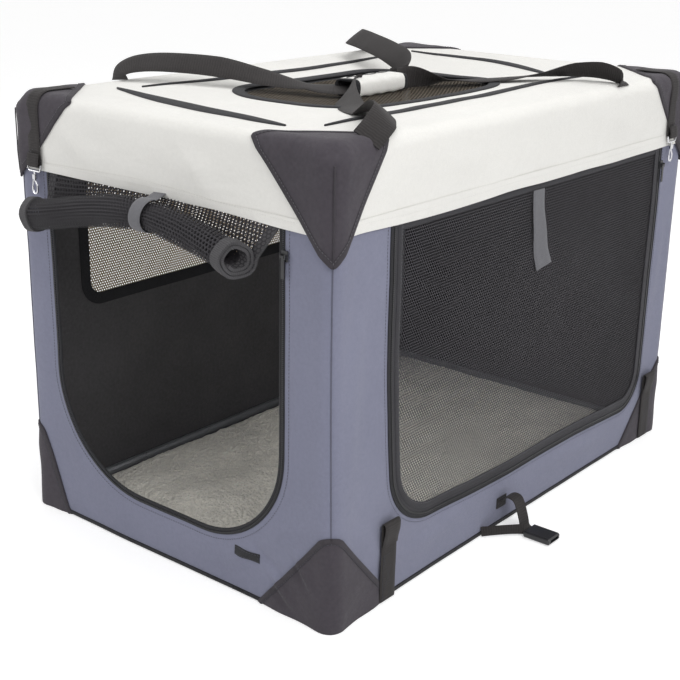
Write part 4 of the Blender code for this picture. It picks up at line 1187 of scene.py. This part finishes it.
def woundMesh(xs, walk, ribsAlong):
    # the wound sheet between the given places, its weave running across or along it
    bm, layer = newMesh()
    rows = [[bm.verts.new(p) for p in rollLine(x)] for x in xs]
    for n in range(len(xs) - 1):
        for k in range(len(walk) - 1):
            steps = ((n, k), (n + 1, k), (n + 1, k + 1), (n, k + 1))
            places = [(walk[j], xs[i]) if ribsAlong else (xs[i], walk[j]) for i, j in steps]
            addFace(bm, layer, [rows[i][j] for i, j in steps], places)
    if not ribsAlong:
        bmesh.ops.recalc_face_normals(bm, faces=bm.faces)
    return meshOf(bm)


def makeRoll():
    line = rollLine(0.05)
    walk = [0.0]
    for a, b in zip(line, line[1:]):
        walk.append(walk[-1] + (Vector(b) - Vector(a)).length)
    mesh = thickened(woundMesh(np.linspace(roll["left"], roll["right"], 70), walk, False), roll["cloth"], [rollMesh])
    made = addPiece("rolledDoor", mesh, "front_door", slot="net", node="rolled_door")
    edges = []
    left, right, wide, past = (roll[key] for key in ("left", "right", "binding", "bindingPast"))
    for start, end in ((left - past, left + wide), (right - wide, right + past)):
        mesh = woundMesh(np.linspace(start, end, 4), walk, True)
        edges.append(thickened(mesh, roll["bindingThickness"], offset=-0.3, even=False))
    addPiece("rolledDoorBinding", edges, "front_door", rollCloth, "net")


def makeRollTie():
    x = rollTie["x"]
    height, scale, *_ = rollShape(x)
    radius = roll["radius"] * scale + rollTie["clear"]
    line, sides = [Vector((x, rollTie["startY"], valanceEdge(x) + 0.0010))], [(1, 0, 0)]
    for n in range(25):
        angle = radians(rollTie["start"] + rollTie["sweep"] * n / 24)
        line.append(Vector((x + 0.002 * sin(angle), roll["y"] + radius * cos(angle), height + radius * sin(angle))))
        sides.append((1, 0.02, 0.0))
    mesh = ribbonMesh(line, sides, rollTie["width"], rollTie["thickness"], steps=3)
    addPiece("rollTie", mesh, "front_door", tieCloth, "grey_cloth", "roll_tie")


makeRoll()
makeRollTie()
print("rolled door made")


# Carry handle: four webbing straps drawn together in a cloth wrap

handle = {
    "width": 0.038, "thickness": 0.0018, "cup": 0.0012, "lift": cover + 0.0012,
    "middle": (0.001, -0.021, 0.6281), "wrap": (0.023, 0.060, 0.0138), "wrapCloth": 0.0022,
    "stations": 26, "sides": 28, "squareness": 0.62, "sewn": 0.022,
    "drawnIn": (0.10, 0.06), "waist": 0.03, "uneven": (0.0007, 13, 3),   # the ends are drawn in, in width and height
    "seam": (0.0016, 0.0008), "seamHalf": 0.055,
    # the rim's cross section: out from the cloth, and along to its end
    "rim": ((0.0010, -0.006), (0.0012, 0.0), (0.0, 0.0022), (-0.0028, 0.0012), (-0.0032, -0.006)),
}
# each strap's foot on the roof, then points in space with how far the webbing leans there
strapWays = {
    "front_left": [
        (-0.271, -0.280), (-0.271, -0.277, 0.6450, 28), (-0.253, -0.263, 0.6550, 36), (-0.213, -0.240, 0.6590, 40),
        (-0.148, -0.196, 0.6545, 44), (-0.094, -0.152, 0.6400, 30), (-0.050, -0.112, 0.6280, 4),
    ],
    "rear_left": [
        (-0.262, 0.318), (-0.258, 0.290, 0.6420, 20), (-0.235, 0.235, 0.6580, 35), (-0.205, 0.192, 0.6670, 40),
        (-0.150, 0.160, 0.6650, 40), (-0.080, 0.126, 0.6575, 42), (-0.026, 0.094, 0.6470, 60),
    ],
    "front_right": [
        (0.283, -0.390), (0.284, -0.372, 0.6405, 0), (0.275, -0.345, 0.6510, 0), (0.234, -0.300, 0.6480, 0),
        (0.180, -0.262, 0.6340, -6), (0.134, -0.229, 0.6290, -4), (0.058, -0.152, 0.6275, -34),
    ],
    "rear_right": [
        (0.282, 0.240), (0.276, 0.240, 0.6410, 50), (0.246, 0.240, 0.6480, 50), (0.206, 0.226, 0.6465, 40),
        (0.165, 0.204, 0.6380, 16), (0.125, 0.176, 0.6305, 2), (0.085, 0.143, 0.6260, 0), (0.045, 0.106, 0.6260, 12),
    ],
}
# the front right strap stands up across its seam before it turns to the handle
standingSides = ((0.787, 0.459, -0.406), (0.774, 0.419, -0.472), (0.66, 0.26, -0.70), (0.64, 0.50, -0.58))
# where each strap enters the wrap and where it ends inside, from the wrap's middle, with its lean
strapEnds = {
    "front_left": [(-0.012, -0.072, -0.002, 14), (-0.006, -0.040, -0.003, 10)],
    "front_right": [(0.008, -0.062, 0.001, -66), (0.004, -0.036, 0.002, -70)],
    "rear_left": [(-0.006, 0.088, 0.001, 85), (-0.006, 0.052, 0.000, 88)],
    "rear_right": [(0.006, 0.088, 0.001, 85), (0.006, 0.052, 0.000, 88)],
}
middle = Vector(handle["middle"])


def makeStraps():
    for name, (foot, *way) in strapWays.items():
        ends = strapEnds[name]
        points = [skin((*foot, top), handle["lift"])] + [Vector(p[:3]) for p in way]
        points += [middle + Vector(p[:3]) for p in ends]
        last = len(points) - 1
        sides = []
        for n, lean in enumerate([0] + [p[3] for p in way + ends]):
            ahead = (points[min(n + 1, last)] - points[max(n - 1, 0)]).normalized()
            level = ahead.cross(Vector((0, 0, 1))).normalized()
            sides.append(Quaternion(ahead, radians(lean)) @ level)
        if name == "front_right":
            sides[:4] = standingSides
        mesh = ribbonMesh(points, sides, handle["width"], handle["thickness"], handle["cup"], steps=8)
        made = addPiece("handleStrap" + titled(name), mesh, None, webbing, node=f"handle_strap_{name}")
        tuple(points[1])
        tuple(points[-2])
        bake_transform(made)


def makeWrap():
    # cloth closed round the straps, open at both ends, with a rim there and a seam along its top
    halfWide, halfLong, halfHigh = handle["wrap"]
    count, power = handle["sides"], handle["squareness"]
    (inWide, inHigh), (rise, along, often) = handle["drawnIn"], handle["uneven"]
    sections, uvs = [], []
    for t in (n / handle["stations"] * 2 - 1 for n in range(handle["stations"] + 1)):
        ends = abs(t) ** 6
        wide = halfWide * (1 - inWide * ends - handle["waist"] * (1 - t * t))
        high = halfHigh * (1 - inHigh * ends)
        row = []
        for angle in (2 * pi * k / count for k in range(count)):
            c, s = cos(angle), sin(angle)
            z = copysign(abs(s) ** power, s) * high + rise * sin(along * t + often * angle)
            row.append(middle + Vector((copysign(abs(c) ** power, c) * wide, t * halfLong, z)))
        sections.append(row)
        uvs.append([(t * halfLong, 2 * pi * k / count * handle["sewn"]) for k in range(count + 1)])
    mesh = thickened(sectionMesh(sections, False, uvs, caps=False), handle["wrapCloth"], [cream, shadedInside])
    addPiece("handleWrap", mesh, "handle", slot="cream_cloth", node="handle_wrap")
    rims = []
    for row, sign in ((sections[0], -1), (sections[-1], 1)):
        rim = []
        for here in row:
            out = Vector((here.x - middle.x, 0, here.z - middle.z)).normalized()
            rim.append([here + out * a + Vector((0, sign * b, 0)) for a, b in handle["rim"]])
        rims.append(sectionMesh(rim, True))
    seam = []
    for t in np.linspace(-1, 1, 24):
        seam.append(middle + Vector((-0.004 + 0.001 * sin(9 * t), t * handle["seamHalf"], halfHigh * 0.995 + 0.0006)))
    rims.append(ribbonMesh(seam, [(1, 0, 0)] * len(seam), *handle["seam"], steps=1))
    addPiece("handleWrapBinding", rims, "handle", binding)


makeStraps()
makeWrap()
print("handle made")


# Hook straps: webbing from under the patch over the edge, looped through the ring

hook = {
    "width": 0.025, "thickness": 0.0015, "barZ": 0.534, "turn": 0.0031,
    "inward": (0.060, 0.045, 0.030, 0.016, 0.010, 0.005, 0.0), "inwardLift": cover + 0.0052,
    "down": (0.006, 0.011, 0.018, 0.035, 0.055, 0.072), "downLift": cover + 0.0040,
    # place along the wall, the wall, its distance and the bar's from the middle, the way across and the way out
    "front": (-0.248, "front", halfY, 0.4615, (1, 0, 0), (0, -1, 0)),
    "side": (0.398, "right", halfX, 0.2965, (0, 1, 0), (1, 0, 0)),
}


def makeHookStraps():
    for name in ("front", "side"):
        along, face, half, barOut, across, out = hook[name]

        def flat(distance):
            return (along, -distance) if name == "front" else (distance, along)

        line = [skin((*flat(half - step), top), hook["inwardLift"]) for step in hook["inward"]]
        for step in hook["down"]:
            line.append(skin(faces[face](along, top - step), hook["downLift"] - 0.02 * max(step - 0.03, 0)))
        turn = hook["turn"]
        loop = [(-turn, 0.006)] + [(-turn * cos(pi * n / 6), -turn * sin(pi * n / 6)) for n in range(7)]
        bar = Vector((*flat(barOut), hook["barZ"]))
        for a, z in loop + [(0.0024, 0.008), (0.0006, 0.016)]:
            line.append(bar + Vector(out) * a + Vector((0, 0, z)))
        mesh = ribbonMesh(line, [across] * len(line), hook["width"], hook["thickness"], steps=2)
        addPiece("hookStrap" + titled(name), mesh, "top", webbing, node=f"hook_strap_{name}")


makeHookStraps()


# Webbing tabs on the side, pack strap and label

tab = {
    "width": 0.033, "high": 0.114, "lift": 0.0050, "thickness": 0.0017, "turn": (0.0032, 0.0055),
    "end": ((0.0058, -0.010), (0.0030, -0.022), (0.0022, -0.030)),
    "sewnIn": 0.004, "sewn": (0.006, 0.070), "stitchLift": 0.0059,
}
packStrap = {
    "x": 0.2889, "y": -0.045, "width": 0.025, "thickness": 0.0017, "cup": 0.0008, "seam": 0.040,
    # out from the wall and height
    "line": (
        (0.0, 0.040), (0.009, 0.048), (0.01692, 0.050), (0.02628, 0.045),
        (0.036, 0.0225), (0.040, 0.009), (0.044, 0.0055), (0.0485, 0.005),
    ),
    "seat": (0.012, 0.005), "seatLift": 0.0003, "sewnIn": 0.003, "sewn": (0.031, 0.043), "stitchLift": 0.0022,
}
# the second strap, from the bottom hem to the buckle: points, and the way across it
hemStrap = {
    "width": 0.015, "thickness": 0.0015,
    "points": (
        (0.2895, -0.100, 0.0075), (0.298, -0.092, 0.0085), (0.316, -0.072, 0.0092),
        (0.333, -0.053, 0.0085), (0.342, -0.046, 0.0062),
    ),
    "sides": ((0.25, 0.45, 0.8), (0.35, 0.5, 0.75), (0.45, 0.6, 0.65), (0.55, 0.75, 0.3), (0.4, 0.9, 0)),
}
label = {
    "path": [(0.126, 0.064), (0.170, 0.064)], "sizes": (0.013, 0.0003, 0.0009),
    "sewn": (0.128, 0.168, 0.0595, 0.0685), "stitchLift": 0.0013,
}


def boxLoop(u0, u1, v0, v1):
    return [(u0, v0), (u1, v0), (u1, v1), (u0, v1)]


def makeTabs():
    for name, node, y in (("tabFront", "tab_front", -0.336), ("tabRear", "tab_rear", 0.405)):
        line = [skin(faces["right"](y, v), tab["lift"]) for v in np.linspace(0.001, tab["high"], 9)]
        upper = line[-1]
        out, high = tab["turn"]
        turns = [(out * (1 - cos(pi * n / 7)), high * sin(pi * n / 7)) for n in range(1, 8)]
        line += [upper + Vector((x, 0, z)) for x, z in (*turns, *tab["end"])]
        mesh = ribbonMesh(line, [(0, 1, 0)] * len(line), tab["width"], tab["thickness"], steps=2)
        addPiece(name, mesh, "base", webbing, node=node)
        half = tab["width"] / 2 - tab["sewnIn"]
        box = boxLoop(y - half, y + half, *tab["sewn"])
        for path, closed in ((box, True), (box[0::2], False), (box[1::2], False)):
            stitchLines["base"].append(onFace("right", path, tab["stitchLift"], closed))


def makePackStrap():
    x, y, width, thickness = (packStrap[key] for key in ("x", "y", "width", "thickness"))
    points = [Vector((x + dx, y + 0.004 * sin(dx * 60), z)) for dx, z in packStrap["line"]]
    mesh = ribbonMesh(points, [(0, 1, 0)] * len(points), width, thickness, packStrap["cup"], steps=5)
    addPiece("packStrap", mesh, "pack", webbing, node="pack_strap")
    below, above = packStrap["seat"]
    path = [(y, packStrap["seam"] - below), (y, packStrap["seam"] + above)]
    addPiece("packStrapSeat", tapeMesh("right", path, width, packStrap["seatLift"], thickness), "base", webbing)
    half = width / 2 - packStrap["sewnIn"]
    box = boxLoop(y - half, y + half, *packStrap["sewn"])
    stitchLines["base"].append(onFace("right", box, packStrap["stitchLift"], True))


def makeHemStrap():
    points = hemStrap["points"]
    mesh = ribbonMesh(points, hemStrap["sides"], hemStrap["width"], hemStrap["thickness"], steps=5)
    made = addPiece("hemStrap", mesh, None, webbing)
    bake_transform(made)


def makeLabel():
    addPiece("sideLabel", tapeMesh("front", label["path"], *label["sizes"], spacing=0.004), "base", binding)
    stitchLines["base"].append(onFace("front", boxLoop(*label["sewn"]), label["stitchLift"], True))


makeTabs()
makePackStrap()
makeHemStrap()
makeLabel()
print("straps made")


# Plush mat

mat = {
    "cells": (110, 170), "drawIn": 0.010, "rim": 0.010, "crown": 0.024, "keep": 0.8, "fill": 0.6,
    "pile": ((0.0030, 260), (0.0024, 90), (0.0030, 14)),   # height and scale, the last for the quilting
}


def makeMat():
    low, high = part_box("plush_mat")
    bm = bmesh.new()
    bmesh.ops.create_grid(bm, x_segments=mat["cells"][0], y_segments=mat["cells"][1], size=1)
    for v in bm.verts:
        u, w = v.co.x, v.co.y
        dome = max((1 - u ** 6) * (1 - w ** 6), 0)
        x = u * (high.x - mat["drawIn"] * (1 - w * w) * abs(u) ** 3)
        y = w * (high.y - mat["drawIn"] * (1 - u * u) * abs(w) ** 3)
        place = Vector((x, y, 0))
        uneven = sum(height * noise.noise(place * scale) for height, scale in mat["pile"])
        v.co = (x, y, low.z + mat["rim"] + mat["crown"] * dome ** 0.35 + uneven * min(1, 4 * dome))
    rim = [e for e in bm.edges if e.is_boundary]
    lower = bmesh.ops.extrude_edge_only(bm, edges=rim)["geom"]
    for v in {v for e in lower if isinstance(e, bmesh.types.BMEdge) for v in e.verts}:
        v.co.z = low.z
    bmesh.ops.holes_fill(bm, edges=[e for e in bm.edges if e.is_boundary], sides=0)
    bmesh.ops.recalc_face_normals(bm, faces=bm.faces)
    made = addPiece("plushMat", meshOf(bm), "base", plush, "plush", "plush_mat", sharp=80, keep=mat["keep"])


makeMat()
print("mat made")


# Brackets: the CAD shape with its outer corner eased to lie inside the rounded cloth

bracket = {"x": 0.2717, "y": 0.4367, "radius": 0.0125}


def makeBrackets():
    for name in cornerSigns:
        for level in ("base", "top"):
            node = f"{level}_bracket_{name}"
            bm = bmesh.new()
            bm.from_mesh(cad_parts[node].data)
            bmesh.ops.remove_doubles(bm, verts=bm.verts, dist=0.00001)
            for v in bm.verts:
                dx, dy = abs(v.co.x) - bracket["x"], abs(v.co.y) - bracket["y"]
                if dx > 0 and dy > 0 and hypot(dx, dy) > bracket["radius"]:
                    share = bracket["radius"] / hypot(dx, dy)
                    v.co.x = copysign(bracket["x"] + dx * share, v.co.x)
                    v.co.y = copysign(bracket["y"] + dy * share, v.co.y)
            title = f"{level}Fitting{titled(name)}"
            addPiece(title, meshOf(bm), level, plastic, "plastic", node, sharp=35, keep=1)


makeBrackets()


# Stitches and zip teeth of every piece together

def makeStitches():
    for key, body, finish, slot in (
        ("base", "base", darkThread, "charcoal_cloth"), ("cover", "top", creamThread, "cream_cloth"),
        ("charcoal", "top", thread, "charcoal_cloth"), ("door", "side_door", thread, "charcoal_cloth"),
    ):
        addPiece(key + "Stitches", setOut(stitchLines[key], stitch, True, finish), body, slot=slot)
    addPiece("zipTeeth", setOut(toothLines, tooth, False, plastic), "base", slot="plastic")


makeStitches()
print("stitches and zips made")


# Finishes of the CAD pieces that stay

def paintNodes():
    # the floor panel takes the same inner grey, darkened as painted shade
    painted = {"base_ring": coatedTube, "top_ring": coatedTube, "floor_panel": shadedInside, "pack_buckle": plastic}
    painted.update({f"{level}_post_{name}": coatedTube for level in ("lower", "upper") for name in cornerSigns})
    for side in ("front", "side"):
        painted.update({f"{kind}_{side}": plastic for kind in ("zip_slider", "zip_pull")})
        painted.update({f"{kind}_{side}": chrome for kind in ("hook_eye", "snap_hook", "hook_gate")})
    for name, finish in painted.items():
        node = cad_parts[name]
        for place in node.material_slots:
            place.material = finish
        if not node.material_slots:
            node.data.materials.append(finish)


paintNodes()


# Camera, light and floor

view = {"lens": 68.2, "place": (1.205, -1.563, 0.901), "turn": 39.18, "tilt": -19.21, "roll": 1.07}
studio = {
    "sky": 0.64, "floorWhite": 0.42, "floorTone": (0.80, 0.82), "floorSize": 14, "floorZ": -0.0006,
    # place, target, size and power
    "sideLight": ((2.4, -1.1, 2.2), (0, -0.1, 0.3), 1.8, 38),
    "frontLight": ((-1.7, -2.3, 1.3), (0, 0, 0.2), 1.2, 14),
    "topLight": ((0.2, 0.4, 2.8), (0, 0, 0.3), 2.4, 21),
}


def makeCamera():
    turn, tilt, lean = (radians(view[key]) for key in ("turn", "tilt", "roll"))
    ahead = Vector((-cos(tilt) * sin(turn), cos(tilt) * cos(turn), sin(tilt)))
    right = ahead.cross(Vector((0, 0, 1))).normalized()
    up = right.cross(ahead)
    sideways = right * cos(lean) + up * sin(lean)
    upward = -right * sin(lean) + up * cos(lean)
    data = bpy.data.cameras.new("camera")
    data.lens = view["lens"]
    data.sensor_width = 36
    scene.camera = addObject("camera", data)
    turned = Matrix((sideways, upward, -ahead)).transposed().to_4x4()
    scene.camera.matrix_world = Matrix.Translation(view["place"]) @ turned


def addLamp(name):
    place, target, size, power = studio[name]
    data = bpy.data.lights.new(name, "AREA")
    data.shape = "DISK"
    data.size = size
    data.energy = power
    lamp = addObject(name, data)
    lamp.location = place
    lamp.rotation_euler = (Vector(target) - Vector(place)).to_track_quat("-Z", "Y").to_euler()


def seenByCamera(tree):
    # 1 where the camera, or a mirror or glass in its view, sees this
    path = addNode(tree, "ShaderNodeLightPath")
    inMirror = calculate(tree, "MAXIMUM", path["Is Glossy Ray"], path["Is Transmission Ray"])
    return calculate(tree, "MAXIMUM", path["Is Camera Ray"], inMirror)


def makeSky():
    world = bpy.data.worlds.new("studio")
    scene.world = world
    world.use_nodes = True
    tree = world.node_tree
    strength = addNode(tree, "ShaderNodeMix", {0: seenByCamera(tree), 2: studio["sky"], 3: 1.0})[0]
    wire(tree, tree.nodes["Background"].inputs, {"Color": (1, 1, 1, 1), "Strength": strength})


def makeFloor():
    finish, tree, shader, coords = newMaterial("paleFloor")
    tone = mapped(tree, grainOf(tree, coords["Object"], 3.0, 2.0), 0.0, 1.0, *studio["floorTone"])
    wire(tree, shader, {
        "Base Color": addNode(tree, "ShaderNodeCombineColor", {0: tone, 1: tone, 2: tone})[0], "Roughness": 0.9,
        "Emission Color": (1, 1, 1, 1),
        "Emission Strength": calculate(tree, "MULTIPLY", seenByCamera(tree), studio["floorWhite"]),
    })
    bm = bmesh.new()
    bmesh.ops.create_grid(bm, x_segments=2, y_segments=2, size=studio["floorSize"])
    bmesh.ops.translate(bm, verts=bm.verts, vec=(0, 0, studio["floorZ"]))
    mesh = meshOf(bm)
    dress(mesh, [finish])
    addObject("floor", mesh)


makeCamera()
makeSky()
for lampName in ("sideLight", "frontLight", "topLight"):
    addLamp(lampName)
makeFloor()
scene.view_settings.view_transform = "Standard"
